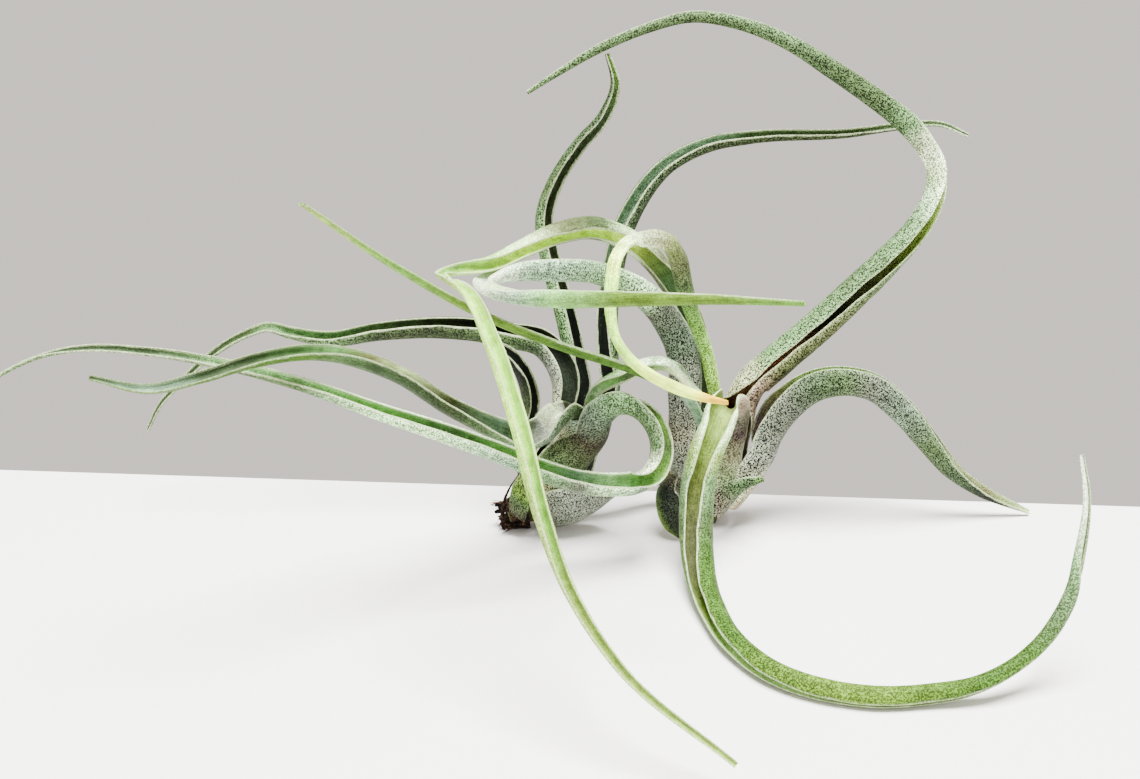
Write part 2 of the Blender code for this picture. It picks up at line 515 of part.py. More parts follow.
RUNNER = [
    Ring(-34, 2, 7.5, 2.4),
    Ring(-20, 5, 9.5, 2.0),
    Ring(-8, 11, 8.5, 2.0),
    Ring(1, 10.5, 7, 2.4),
    Ring(5, 3, 6.5, 2.4),
]

HUSK = [
    Ring(-51, -3.8, 3.9, 3.1),
    Ring(-48, -3, 4.3, 3.1),
    Ring(-43.8, -1.9, 5.3, 4.6),
]
HUSK_WALL = 0.8
HUSK_SIDES = 16
HUSK_RINGS = 5  # points along each strip
HUSK_TORN = 0.34  # the most that a strip of the husk falls short, as a share of its length


def tube_mesh(name, rows):
    """A closed round tube through its rows."""
    rows = np.array(rows, float)
    spacing = np.linalg.norm(np.diff(rows[:, :3], axis=0), axis=1)
    at = np.linspace(0, spacing.sum(), 3 * len(rows))
    line = smooth(rows[:, :3], spacing, at)
    radius = np.interp(at, np.concatenate([[0.0], np.cumsum(spacing)]), rows[:, 3])
    tangent = unit(np.gradient(line, at, axis=0))
    if rows[0, 2] == 0:
        tangent[0] = UP  # a tube that stands on the ground has a level foot
    side = square_to(np.tile(FRONT, (len(at), 1)), tangent)
    across = np.cross(tangent, side)
    angles = np.arange(STEM_SIDES) * 2 * math.pi / STEM_SIDES
    bm = bmesh.new()
    rings = []
    for i in range(len(at)):
        outward = np.cos(angles)[:, None] * side[i] + np.sin(angles)[:, None] * across[i]
        rings.append([bm.verts.new(placed(p)) for p in line[i] + radius[i] * outward])
    for ring, following in zip(rings, rings[1:]):
        for k in range(STEM_SIDES):
            after = (k + 1) % STEM_SIDES
            bm.faces.new((ring[k], ring[after], following[after], following[k]))
    bm.faces.new(rings[0])
    bm.faces.new(rings[-1])
    bmesh.ops.recalc_face_normals(bm, faces=bm.faces)
    mesh = bpy.data.meshes.new(name)
    bm.to_mesh(mesh)
    bm.free()
    return mesh


def husk_mesh(name, rows):
    """A dry, torn sheath: an open tube whose strips end at different places."""
    rng = random.Random(7)
    rows = np.array(rows, float)
    spacing = np.linalg.norm(np.diff(rows[:, :3], axis=0), axis=1)
    axis = unit(rows[-1, :3] - rows[0, :3])
    side = unit(np.cross(axis, UP))
    across = np.cross(side, axis)
    bm = bmesh.new()
    strips = []
    for k in range(HUSK_SIDES):
        angle = k * 2 * math.pi / HUSK_SIDES
        outward = math.cos(angle) * side + math.sin(angle) * across
        start = rng.uniform(0, HUSK_TORN) * spacing.sum()
        at = np.linspace(start, spacing.sum(), HUSK_RINGS)
        path = smooth(rows, spacing, at)
        inner = [centre + radius * outward for centre, radius in zip(path[:, :3], path[:, 3])]
        outer = [point + HUSK_WALL * outward for point in inner]
        strips.append([bm.verts.new(placed(p)) for p in inner + outer[::-1]])
    around = 2 * HUSK_RINGS
    for k in range(HUSK_SIDES):
        strip, following = strips[k], strips[(k + 1) % HUSK_SIDES]
        for i in range(around):
            a, b = strip[i], strip[(i + 1) % around]
            c, d = following[(i + 1) % around], following[i]
            bm.faces.new((a, b, c))
            bm.faces.new((a, c, d))
    bmesh.ops.recalc_face_normals(bm, faces=bm.faces)
    mesh = bpy.data.meshes.new(name)
    bm.to_mesh(mesh)
    bm.free()
    return mesh


def make_stem():
    stem = add("stem", tube_mesh("stem", RIGHT_STEM), STEM_COLOUR)
    for name, rows in (("left_blank", LEFT_STEM), ("old_end_blank", OLD_END), ("runner_blank", RUNNER)):
        blank = bpy.data.objects.new(name, tube_mesh(name, rows))
        bpy.context.scene.collection.objects.link(blank)
        blank.hide_render = True
        blank.display_type = "WIRE"
        union = stem.modifiers.new(name, "BOOLEAN")
        union.operation = "UNION"
        union.solver = "EXACT"
        union.object = blank


def main():
    for old in list(bpy.data.objects):
        bpy.data.objects.remove(old, do_unlink=True)
    for name, rows in LEAVES.items():
        add(name, leaf_mesh(name, rows), COLOURS[name])
    make_stem()
    add("dry_husk", husk_mesh("dry_husk", HUSK), HUSK_COLOUR, HUSK_ROUGHNESS)


main()
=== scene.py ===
"""The looks of the two-headed air plant: fine, channelled, speckled leaves with silver scale hairs.

The leaves' tables are those of the part's source. They are in millimetres, in a frame whose X and Y are
moved by FOOT, and meshes are made in metres.
"""

import math
import random
from collections import namedtuple

import bpy
import numpy as np
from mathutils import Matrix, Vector


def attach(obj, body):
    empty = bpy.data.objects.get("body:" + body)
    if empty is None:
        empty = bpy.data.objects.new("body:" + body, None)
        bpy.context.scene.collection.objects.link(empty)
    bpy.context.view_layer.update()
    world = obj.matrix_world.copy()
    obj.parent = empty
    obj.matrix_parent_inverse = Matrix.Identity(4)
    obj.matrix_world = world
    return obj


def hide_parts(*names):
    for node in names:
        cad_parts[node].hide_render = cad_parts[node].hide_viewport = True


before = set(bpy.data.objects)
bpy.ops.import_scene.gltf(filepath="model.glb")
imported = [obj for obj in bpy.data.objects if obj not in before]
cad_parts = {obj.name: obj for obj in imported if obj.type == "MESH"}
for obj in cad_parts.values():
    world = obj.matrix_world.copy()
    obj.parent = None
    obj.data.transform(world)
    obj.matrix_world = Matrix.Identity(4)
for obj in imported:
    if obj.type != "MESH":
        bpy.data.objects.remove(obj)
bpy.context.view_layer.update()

MM = 0.001
FOOT = np.array((4.0, 2.0, 0.0))  # the middle of the flat foot, as the tables place it

LEFT, RIGHT = np.array((-1.0, 0, 0)), np.array((1.0, 0, 0))
FRONT, BACK = np.array((0, -1.0, 0)), np.array((0, 1.0, 0))
DOWN, UP = np.array((0, 0, -1.0)), np.array((0, 0, 1.0))

# One row of a leaf's table: the middle of the blade, its full width, half the arc that the blade wraps round
# its channel in degrees (90 is a half pipe, 180 a closed tube) and roughly where the channel faces, which is
# left out where it is as in the row before.
Row = namedtuple("Row", "x y z width arc facing", defaults=[None])
Ring = namedtuple("Ring", "x y z radius")

SHEATH_WALL = 0.9  # thickness of a sheath, where the leaf is wider than SHEATH_WIDTH
SHEATH_WIDTH = 10.6
BLADE_WALL = 1.3  # thickness of a blade at its middle
MOST_WALL = 0.62  # thickness of a fine blade, as a share of its radius
THINNEST = 0.28  # thickness of the rim

SIDES = 15  # points across each face of a blade
LONGEST_STEP = 1.3  # between two cross-sections on a straight stretch
TURN_STEP = math.radians(5)  # and the most that the blade turns between two
FEWEST_RINGS = 8
FINE = 60  # samples to a row while the curve is measured
KEEL_ROUNDS = 3  # after which the keel and what is square to it no longer change

# A head's axis: the middle of its nested sheaths, from the foot to the crown.
RIGHT_AXIS = ((4, 2, 0), (11, 2, 36))
LEFT_AXIS = ((-39, 0, 2), (-37, 0, 10), (-34.5, -0.5, 20), (-30.5, -1, 28), (-27, -1, 35))


def wrap(axis, height, radius, arc, facing=None):
    """A row that is wrapped round a head's axis at a height."""
    axis_x, axis_y, heights = zip(*axis)
    x = np.interp(height, heights, axis_x)
    y = np.interp(height, heights, axis_y)
    return Row(x, y, height, 2 * radius, arc, facing)


def steps_of(points):
    """The distance from each point to the next."""
    return np.linalg.norm(np.diff(points, axis=0), axis=1)


def running(steps):
    """How far along each point lies, from 0 at the first."""
    return np.concatenate([[0.0], np.cumsum(steps)])


def smooth(values, spacing, at):
    """Catmull-Rom values at the given ways along, through values that lie spacing apart."""
    values = np.asarray(values, float)
    knots = running(spacing)
    slopes = np.gradient(values, knots, axis=0)
    i = np.clip(np.searchsorted(knots, at, side="right") - 1, 0, len(knots) - 2)
    width = knots[i + 1] - knots[i]
    s = (at - knots[i]) / width
    s, width = s[:, None], width[:, None]
    a, b, da, db = values[i], values[i + 1], slopes[i] * width, slopes[i + 1] * width
    return (
        (2 * s**3 - 3 * s**2 + 1) * a
        + (s**3 - 2 * s**2 + s) * da
        + (3 * s**2 - 2 * s**3) * b
        + (s**3 - s**2) * db
    )


def blend(first, second, share):
    """From the first to the second as the share goes from 0 to 1."""
    return first * (1 - share) + second * share


def placed(point):
    """A point of the tables as a point of the world, in metres."""
    return (point - FOOT) * MM


def unit(vectors):
    """The vectors, each one long."""
    return vectors / np.linalg.norm(vectors, axis=-1, keepdims=True)


def square_to(vectors, tangent):
    """What is left of the vectors square to the tangent, each one long."""
    return unit(vectors - (vectors * tangent).sum(1, keepdims=True) * tangent)


def facings(rows):
    """Where the channel faces at each row."""
    found = []
    for row in rows:
        found.append(found[-1] if row.facing is None else row.facing)
    return np.array(found, float)


def keel_of(rows):
    """The keel, the line down the back of the blade, and where the channel faces, square to it."""
    middle = np.array([(r.x, r.y, r.z) for r in rows], float)
    rough = unit(facings(rows))
    radius = np.array([r.width / 2 for r in rows])[:, None]
    facing = rough
    for _ in range(KEEL_ROUNDS):
        keel = middle - radius * facing
        facing = square_to(rough, unit(np.gradient(keel, axis=0)))
    return middle - radius * facing, facing


Stations = namedtuple("Stations", "line tangent facing radius arc row along")


def stations(rows):
    """Cross-sections along a leaf, square to its keel, with the place of each among the rows."""
    keel, facing = keel_of(rows)
    spacing = steps_of(keel)
    at = np.linspace(0, spacing.sum(), FINE * len(rows))
    keel = smooth(keel, spacing, at)
    tangent = unit(np.gradient(keel, at, axis=0))
    facing = square_to(smooth(facing, spacing, at), tangent)
    radius = smooth([[r.width / 2] for r in rows], spacing, at)[:, 0]
    arc = smooth([[math.radians(r.arc)] for r in rows], spacing, at)[:, 0]
    row = np.interp(at, running(spacing), np.arange(len(rows)))
    line = keel + radius[:, None] * facing
    turn = np.arccos(np.clip((tangent[1:] * tangent[:-1]).sum(1), -1, 1))
    cost = running(np.hypot(steps_of(line) / LONGEST_STEP, turn / TURN_STEP))
    count = max(FEWEST_RINGS, math.ceil(cost[-1]) + 1)
    pick = np.interp(np.linspace(0, cost[-1], count), cost, np.arange(len(cost))).round().astype(int)
    return Stations(*(values[pick] for values in (line, tangent, facing, radius, arc, row, at)))


LEAVES = {
    "leaf_back_loop": [
        wrap(RIGHT_AXIS, 11, 7.4, 58, FRONT + 0.5 * LEFT),
        wrap(RIGHT_AXIS, 20, 6.3, 62),
        wrap(RIGHT_AXIS, 28, 5.4, 78, FRONT + 0.9 * LEFT),
        Row(11.4, 4.2, 32.8, 9.4, 130, FRONT + LEFT),
        Row(14.2, 4.2, 37.6, 9.0, 172, FRONT + 0.3 * LEFT + 0.1 * UP),
        Row(20, 4.4, 43.4, 8.8, 170, FRONT + 0.25 * LEFT + 0.2 * UP),
        Row(32.3, 6, 54.3, 8.3, 169, FRONT + 0.1 * LEFT + 0.15 * UP),
        Row(40, 7.5, 61.6, 8.0, 164, FRONT + 0.1 * UP),
        Row(47.4, 9, 68.9, 7.3, 157, FRONT + 0.3 * RIGHT),
        Row(54.4, 10.5, 76.8, 6.3, 150, FRONT + 0.65 * RIGHT),
        Row(57.9, 11.5, 84.3, 5.6, 146, RIGHT + 0.8 * FRONT),
        Row(58.4, 12, 89.6, 5.2, 142, RIGHT + 0.2 * FRONT),
        Row(55.9, 12, 94.9, 5.1, 140, RIGHT + 0.6 * BACK + 0.4 * UP),
        Row(50.1, 12, 101.6, 5.4, 135, RIGHT + UP + BACK),
        Row(42.4, 12, 107.2, 5.0, 130, UP + BACK + 0.5 * RIGHT),
        Row(30.6, 12, 114.6, 4.4, 130, UP + BACK),
        Row(18.9, 12, 121.2, 3.6, 125),
        Row(7.6, 12, 125.2, 3.1, 120),
        Row(-3.5, 12, 126.6, 2.8, 120),
        Row(-14.4, 12, 123.9, 2.5, 115),
        Row(-25.5, 12, 119.3, 2.3, 110),
        Row(-34.3, 12, 114.3, 1.7, 105),
        Row(-42.4, 12, 109.3, 1.1, 100),
    ],
    "leaf_pale_loop": [
        Row(8.6, 2, 23.5, 2.6, 80, BACK),
        Row(7.2, 1.8, 29, 2.8, 85),
        Row(5.2, 2.1, 34.3, 3.1, 95),
        Row(3.8, 0.5, 39.6, 3.4, 105, BACK + 0.2 * RIGHT),
        Row(1.3, -3.3, 49.1, 3.4, 115, BACK + 0.4 * RIGHT),
        Row(-2.6, -8, 59, 3.6, 125),
        Row(-5.9, -14, 69, 4.2, 130, BACK + 0.2 * RIGHT),
        Row(-7.8, -18, 75.8, 4.4, 130, BACK),
        Row(-10.6, -23, 80.4, 4.2, 130, BACK + DOWN),
        Row(-14.8, -27, 82.4, 3.8, 130, DOWN + BACK),
        Row(-19.2, -31.5, 82.6, 3.2, 130, DOWN + RIGHT),
        Row(-22.4, -36, 80, 2.9, 120, RIGHT + BACK),
        Row(-23.4, -40, 75.5, 3.1, 115),
        Row(-23.7, -43.5, 70.8, 2.6, 110),
        Row(-22.6, -46, 66, 2.4, 110, RIGHT + UP + BACK),
        Row(-19.8, -48, 62, 2.5, 110, UP + BACK),
        Row(-15.2, -50, 59, 2.8, 105),
        Row(-9.7, -52, 56.9, 3.0, 105),
        Row(-5.5, -54, 56, 2.4, 105),
        Row(-0.4, -56, 55.4, 1.2, 100),
    ],
    "leaf_kinked": [
        wrap(RIGHT_AXIS, 12, 8.6, 28, FRONT + 0.6 * RIGHT),
        Row(3.5, 7.5, 26, 6.4, 75),
        Row(1.5, 8.2, 42, 6.4, 95, FRONT + 0.5 * RIGHT),
        Row(-1.5, 6.8, 54, 6.2, 115, FRONT + 0.4 * RIGHT),
        Row(-7.4, 4, 64.5, 5.8, 130, FRONT + 0.3 * RIGHT),
        Row(-12.6, 0, 71.6, 5.6, 140, FRONT),
        Row(-18.8, -6, 77.5, 5.4, 148),
        Row(-25.8, -12, 81.3, 5.4, 150, FRONT + 0.2 * DOWN),
        Row(-35.8, -25, 82.6, 4.8, 150),
        Row(-42.5, -36, 81.8, 4.0, 140, FRONT + 0.1 * DOWN),
        Row(-48.8, -46, 81.1, 3.2, 120, FRONT),
        Row(-54.6, -52, 81.6, 2.5, 95, FRONT + 0.6 * UP),
        Row(-57, -55.6, 82, 2.3, 85, FRONT + UP),
        Row(-55, -58.6, 81.6, 2.5, 85, UP + RIGHT),
        Row(-51, -60.5, 78.6, 2.9, 100, FRONT + 0.5 * RIGHT),
        Row(-47, -64, 71, 3.4, 125),
        Row(-42, -71, 58, 3.7, 140),
        Row(-37, -80, 41, 3.3, 140, FRONT + UP + 0.5 * RIGHT),
        Row(-32, -87, 30, 2.6, 130, FRONT + UP),
        Row(-23, -95, 19, 2.0, 120, UP + FRONT),
        Row(-3, -105, 6, 1.2, 100),
    ],
    "leaf_folded": [
        wrap(RIGHT_AXIS, 8, 8.2, 44, RIGHT + 0.2 * BACK),
        wrap(RIGHT_AXIS, 13, 12.0, 48),
        Row(2.5, 0.5, 20, 18, 54, RIGHT + 0.3 * BACK),
        Row(-2.6, -1.5, 28, 9.2, 95),
        Row(-3.3, -1.2, 37, 8.6, 125, BACK + RIGHT),
        Row(-3.6, -1.4, 45, 8.2, 140),
        Row(-5.1, -2, 50.5, 7.9, 142),
        Row(-7.9, -3.4, 56, 7.4, 142, BACK + RIGHT + 0.3 * UP),
        Row(-11.6, -6.2, 61.6, 7.0, 142, BACK + RIGHT + UP),
        Row(-16.6, -10.4, 66.6, 6.4, 142, BACK + UP + 0.5 * RIGHT),
        Row(-23.7, -16, 71.2, 5.4, 142, BACK + UP),
        Row(-35.8, -31, 76.3, 5.0, 140),
        Row(-42.5, -39, 78.1, 4.4, 130),
        Row(-47.4, -45.5, 78.9, 3.8, 112, UP + 0.5 * BACK),
        Row(-49.6, -51, 79, 3.4, 105, UP + 0.1 * LEFT),
        Row(-47.6, -56, 78.9, 3.6, 108, UP),
        Row(-41.5, -62, 79.1, 3.7, 120, UP + 0.4 * BACK),
        Row(-35.2, -66, 79.7, 3.7, 130, UP + 0.7 * BACK),
        Row(-23.2, -74, 81.8, 3.0, 130, UP + BACK),
        Row(-6.8, -84, 84.5, 2.0, 115),
        Row(6.1, -91, 85.8, 1.2, 100),
    ],
    "leaf_slim": [
        Row(2.4, -5.9, 13, 2.2, 80, BACK),
        Row(1.8, -7.0, 22, 2.2, 80),
        Row(0.2, -8.9, 32, 2.4, 90, BACK + UP),
        Row(-4.8, -13.6, 41.7, 2.8, 105, UP + BACK),
        Row(-16, -23, 50.5, 2.7, 115, UP),
        Row(-34, -33, 60, 2.6, 120),
        Row(-51, -43, 70.5, 2.4, 120),
        Row(-65, -56, 83, 1.9, 110),
        Row(-77, -80, 100, 1.1, 100),
    ],
    "leaf_front_arc": [
        wrap(RIGHT_AXIS, 11, 7.4, 52, BACK + 0.3 * RIGHT),
        wrap(RIGHT_AXIS, 19, 6.4, 54),
        wrap(RIGHT_AXIS, 27, 5.2, 58, BACK + 0.2 * RIGHT),
        Row(9.8, -1.7, 33, 7.0, 88, BACK),
        Row(8.2, -5.8, 37.2, 7.4, 105, UP + 0.4 * BACK),
        Row(5.6, -10.6, 37.4, 8.0, 122, UP + 0.5 * FRONT),
        Row(3.2, -15, 33.4, 8.2, 142, FRONT + 0.4 * UP + 0.2 * LEFT),
        Row(0.6, -17.4, 28, 8.3, 153, FRONT + 0.2 * LEFT),
        Row(-1, -19.2, 22, 8.3, 153, FRONT + 0.25 * LEFT),
        Row(-2, -25, 13, 8.3, 156),
        Row(-2, -35, 6.1, 7.4, 155, FRONT + 0.3 * LEFT + 0.2 * UP),
        Row(-0.5, -48, 3.25, 6.2, 154, FRONT + 0.7 * LEFT + 0.4 * UP),
        Row(3, -62, 2.8, 5.3, 155, LEFT + FRONT + 0.2 * UP),
        Row(9.5, -72, 2.6, 4.9, 160, FRONT + 0.6 * LEFT + 0.2 * DOWN),
        Row(17.5, -77, 2.4, 4.6, 166, FRONT + 0.2 * LEFT + 0.5 * DOWN),
        Row(27, -79.5, 2.3, 4.4, 168, FRONT + 0.5 * DOWN),
        Row(39, -79, 2.55, 4.1, 164, FRONT + 0.6 * DOWN),
        Row(50, -78, 4.6, 3.6, 145, DOWN + FRONT),
        Row(60, -74, 8.5, 3.4, 135, DOWN + RIGHT + FRONT),
        Row(67, -70, 16, 3.1, 125, RIGHT + DOWN),
        Row(70.5, -66, 25, 2.8, 115, RIGHT + FRONT),
        Row(72, -62, 37, 1.9, 105),
        Row(70.5, -60, 45.5, 1.1, 100),
    ],
    "leaf_drooping": [
        wrap(RIGHT_AXIS, 10, 8.2, 52, LEFT + 0.2 * BACK),
        wrap(RIGHT_AXIS, 15, 10.2, 52, LEFT + 0.3 * BACK),
        Row(15.4, -1.2, 21.6, 10.4, 106, LEFT + 0.35 * BACK),
        Row(18.2, -1, 28.5, 9.8, 126, LEFT + 0.6 * UP + 0.1 * BACK),
        Row(23, -1, 34.6, 9.0, 152, UP + LEFT + 0.2 * FRONT),
        Row(29, -1, 39, 8.2, 163, UP + 0.3 * LEFT),
        Row(36, -0.6, 40.2, 7.6, 165, UP),
        Row(43, 0, 38.8, 7.2, 165, UP + 0.3 * RIGHT + 0.1 * FRONT),
        Row(52, 1, 32, 6.8, 164, UP + RIGHT + 0.2 * FRONT),
        Row(60, 2, 23, 6.0, 162, UP + RIGHT + 0.5 * FRONT),
        Row(67, 3, 14.9, 5.0, 158, UP + RIGHT + FRONT),
        Row(78, 4, 7, 3.4, 140, UP + 0.6 * RIGHT + 1.2 * FRONT),
        Row(90.5, 5, 1.1, 1.2, 100, UP + 0.5 * RIGHT + FRONT),
    ],
    "leaf_rear_s": [
        wrap(LEFT_AXIS, 13, 8.9, 16, FRONT),
        Row(-31.5, 7.5, 24, 4.6, 70),
        Row(-28.6, 9.8, 34, 5.3, 98, FRONT + RIGHT),
        Row(-31, 12, 44, 5.8, 125, RIGHT + 0.7 * FRONT),
        Row(-33.5, 13.5, 54.5, 5.6, 135),
        Row(-36.5, 15, 65, 5.2, 135, RIGHT + 0.8 * FRONT),
        Row(-38.5, 16, 79, 4.6, 135, FRONT + RIGHT),
        Row(-35.5, 16, 87.5, 4.2, 130),
        Row(-29.5, 16, 96.5, 3.8, 125),
        Row(-23.5, 16, 103.5, 3.3, 120),
        Row(-21, 16, 111, 2.6, 110),
        Row(-23, 17, 118, 1.4, 100),
    ],
    "leaf_rear_right": [
        wrap(LEFT_AXIS, 14, 8.9, 20, LEFT + 0.5 * FRONT),
        Row(-26, 2.5, 25, 5.6, 70, LEFT + 0.7 * FRONT),
        Row(-22, 4.5, 36, 5.4, 100, LEFT + FRONT),
        Row(-22.5, 8, 46, 5.6, 125),
        Row(-22.5, 11, 55, 5.6, 138),
        Row(-21.5, 13, 63, 5.6, 142, FRONT + LEFT + 0.2 * UP),
        Row(-17.5, 15, 78, 5.5, 145, FRONT + 0.6 * LEFT + 0.6 * UP),
        Row(-7, 16, 92, 4.4, 145, FRONT + UP),
        Row(2.5, 16, 96.5, 3.9, 145),
        Row(12.5, 17, 98, 3.4, 140),
        Row(37, 17.5, 99, 2.4, 130),
        Row(49.5, 18, 100.5, 1.9, 110),
        Row(60.5, 18, 101, 1.5, 100),
        Row(66.5, 17, 98.5, 1.1, 100),
    ],
    "leaf_long_left": [
        wrap(LEFT_AXIS, 12, 8.9, 46, RIGHT + 0.35 * FRONT),
        wrap(LEFT_AXIS, 19, 7.6, 52, RIGHT + 0.4 * FRONT),
        Row(-33.5, 1.5, 29, 8.2, 85, RIGHT + 0.6 * FRONT),
        Row(-33.5, 5, 40, 7.8, 118, UP + RIGHT + 0.7 * FRONT),
        Row(-38.5, 9, 46.5, 7.4, 138, UP + 0.7 * FRONT + 0.4 * RIGHT),
        Row(-47.5, 11, 48.5, 6.9, 148, UP + 0.7 * FRONT),
        Row(-65.5, 13, 50, 5.8, 150),
        Row(-81.5, 13, 49, 5.0, 148),
        Row(-94.5, 13, 47, 4.2, 140, UP + 0.8 * FRONT),
        Row(-104.5, 12, 49, 3.3, 125, UP + FRONT),
        Row(-110.5, 12, 50.5, 2.7, 105),
        Row(-115, 12, 49, 2.4, 110),
        Row(-125.5, 11, 43, 2.1, 115),
        Row(-133, 11, 36.5, 1.8, 105),
        Row(-140, 10, 29.5, 1.5, 100, LEFT + FRONT),
        Row(-144, 10, 22.5, 1.1, 100),
    ],
    "leaf_short_dark": [
        wrap(LEFT_AXIS, 13, 9.8, 16, RIGHT + 0.5 * FRONT),
        Row(-42.6, 3.6, 23, 5.0, 66),
        Row(-41.8, 1.8, 30.8, 5.0, 105, RIGHT + 0.7 * FRONT),
        Row(-42.2, 0, 37.1, 4.8, 125, RIGHT + 0.3 * UP + 0.7 * FRONT),
        Row(-43.8, -1.5, 42.9, 4.4, 125, RIGHT + 0.7 * UP + 0.7 * FRONT),
        Row(-46.8, -3, 48.1, 3.4, 110, UP + RIGHT + FRONT),
        Row(-52, -5, 52, 1.4, 95, UP + FRONT),
    ],
    "leaf_coiled": [
        wrap(LEFT_AXIS, 12, 8.9, 62, BACK + 0.2 * LEFT),
        wrap(LEFT_AXIS, 19, 8.2, 62, BACK + 0.3 * LEFT),
        Row(-27.2, -5, 28, 9.6, 80, BACK + 0.5 * LEFT),
        Row(-24.5, -9.5, 35.5, 7.6, 105, BACK + 0.3 * LEFT),
        Row(-19.8, -12.9, 39.3, 6.4, 118, BACK + UP),
        Row(-14.8, -15.8, 38.6, 6.0, 121, UP + RIGHT),
        Row(-11.5, -18.6, 35.2, 5.8, 127, RIGHT + 0.4 * UP + 0.4 * FRONT),
        Row(-10.3, -21, 30.8, 5.8, 129, RIGHT + 0.8 * FRONT),
        Row(-11.6, -23.2, 26.2, 5.8, 131, FRONT + 0.8 * RIGHT + 0.2 * UP),
        Row(-16.2, -25, 23.8, 5.8, 134, FRONT + 0.8 * UP),
        Row(-22.5, -27, 23.9, 5.7, 140, UP + 0.9 * FRONT),
        Row(-30, -29, 25.6, 5.6, 145, UP + 0.7 * FRONT),
        Row(-39, -32, 30, 5.2, 148),
        Row(-48, -34, 35, 4.9, 150),
        Row(-58.5, -37, 40.5, 4.6, 150),
        Row(-73, -41, 47.5, 3.9, 145),
        Row(-88, -47, 56, 3.1, 135),
        Row(-100, -53, 62, 2.5, 125, UP + FRONT),
        Row(-114, -59, 67, 1.9, 110),
        Row(-125, -63, 69, 1.5, 100),
        Row(-133, -65, 68, 1.3, 100, UP),
        Row(-142, -68, 64, 1.1, 100),
    ],
    "leaf_lower_left": [
        wrap(LEFT_AXIS, 20, 5.0, 50, RIGHT + 0.6 * BACK),
        Row(-31.6, -1.5, 25.5, 7.8, 60),
        Row(-29.1, -2.9, 31.2, 7.0, 73, RIGHT + 0.6 * BACK + 0.3 * UP),
        Row(-31, -5.2, 35.1, 6.7, 85, RIGHT + 0.6 * BACK + 1.5 * UP),
        Row(-34.4, -8.1, 35.5, 7.5, 98, UP),
        Row(-38.4, -11.6, 32.1, 7.7, 102, UP + 0.6 * FRONT + 0.3 * LEFT),
        Row(-43.3, -14, 30.4, 7.1, 112, UP + FRONT),
        Row(-49, -16.4, 33.5, 5.8, 126, UP + 0.9 * FRONT),
        Row(-60, -23, 42, 4.6, 142, UP + 0.7 * FRONT),
        Row(-70, -31, 52.5, 4.2, 145),
        Row(-75.5, -36, 57, 4.1, 145),
        Row(-81, -41, 60.5, 3.8, 140, UP + 0.8 * FRONT),
        Row(-87, -48, 63.2, 3.4, 130, UP + FRONT),
        Row(-95, -56, 64, 3.0, 120),
        Row(-103, -63, 63.2, 2.6, 110),
        Row(-111.5, -68, 62.6, 2.1, 105),
        Row(-120, -73, 66.6, 1.1, 100),
    ],
    "leaf_small_arch": [
        Row(-31.2, 1.2, 23.2, 2.2, 85, FRONT),
        Row(-28.6, 0.6, 29, 2.4, 85),
        Row(-26.4, -1.5, 36.6, 2.8, 95),
        Row(-23.5, -8, 42, 3.4, 110),
        Row(-19.5, -12, 45.6, 3.8, 120, FRONT + 0.5 * DOWN),
        Row(-15.2, -16, 49.2, 3.8, 125, FRONT + 0.8 * DOWN),
        Row(-11, -18, 50.6, 3.6, 125, FRONT + DOWN),
        Row(-7, -19, 49.2, 3.2, 120),
        Row(-3.5, -19, 45, 2.2, 105, FRONT + LEFT),
        Row(-1, -19, 43, 1.2, 95),
    ],
    # Three rows are up to 1 mm wider than the solid's, to close on the front arc leaf.
    "leaf_hooked": [
        Row(-4.7, -3.6, 14.4, 4.2, 60, RIGHT + 0.4 * BACK),
        Row(-5.9, -4.8, 11.4, 7.8, 78, RIGHT + 0.5 * BACK),
        Row(-5.8, -5.9, 8, 8.6, 90, RIGHT + 0.6 * BACK),
        Row(-4.8, -7.2, 4.2, 6.8, 96, RIGHT + 0.8 * BACK),
        Row(-4, -8.6, 1, 1.6, 90, RIGHT + BACK),
    ],
    "scale_right": [
        Row(3.2, -4.9, 8.6, 10.8, 50, BACK + 0.3 * UP),
        Row(6, -6.2, 12, 8.8, 60, BACK + 0.4 * UP),
        Row(9.2, -7.8, 15.0, 6.0, 66),
        Row(12.5, -9.2, 16.8, 3.6, 78),
        Row(16.2, -10, 17.6, 1.4, 90),
    ],
    "scale_silver": [
        Row(-40, -1, 9.8, 18, 56, UP + 1.2 * BACK),
        Row(-37, -1.1, 10.8, 20.0, 58),
        Row(-33, -1.1, 12.1, 20.4, 56),
        Row(-27.5, -1.5, 13.6, 16, 46),
        Row(-22.5, -3, 13.2, 8, 24),
    ],
    "scale_green": [
        wrap(LEFT_AXIS, 5.5, 12.0, 13, RIGHT + 1.1 * BACK),
        wrap(LEFT_AXIS, 10, 12.6, 16),
        wrap(LEFT_AXIS, 16, 11.0, 12),
    ],
}


# ---------- Colours ----------


def tone(red, green, blue):
    """A display colour of 0 to 255 as the linear colour that shaders take."""
    shares = np.array((red, green, blue)) / 255
    return np.where(shares <= 0.04045, shares / 12.92, ((shares + 0.055) / 1.055) ** 2.4)


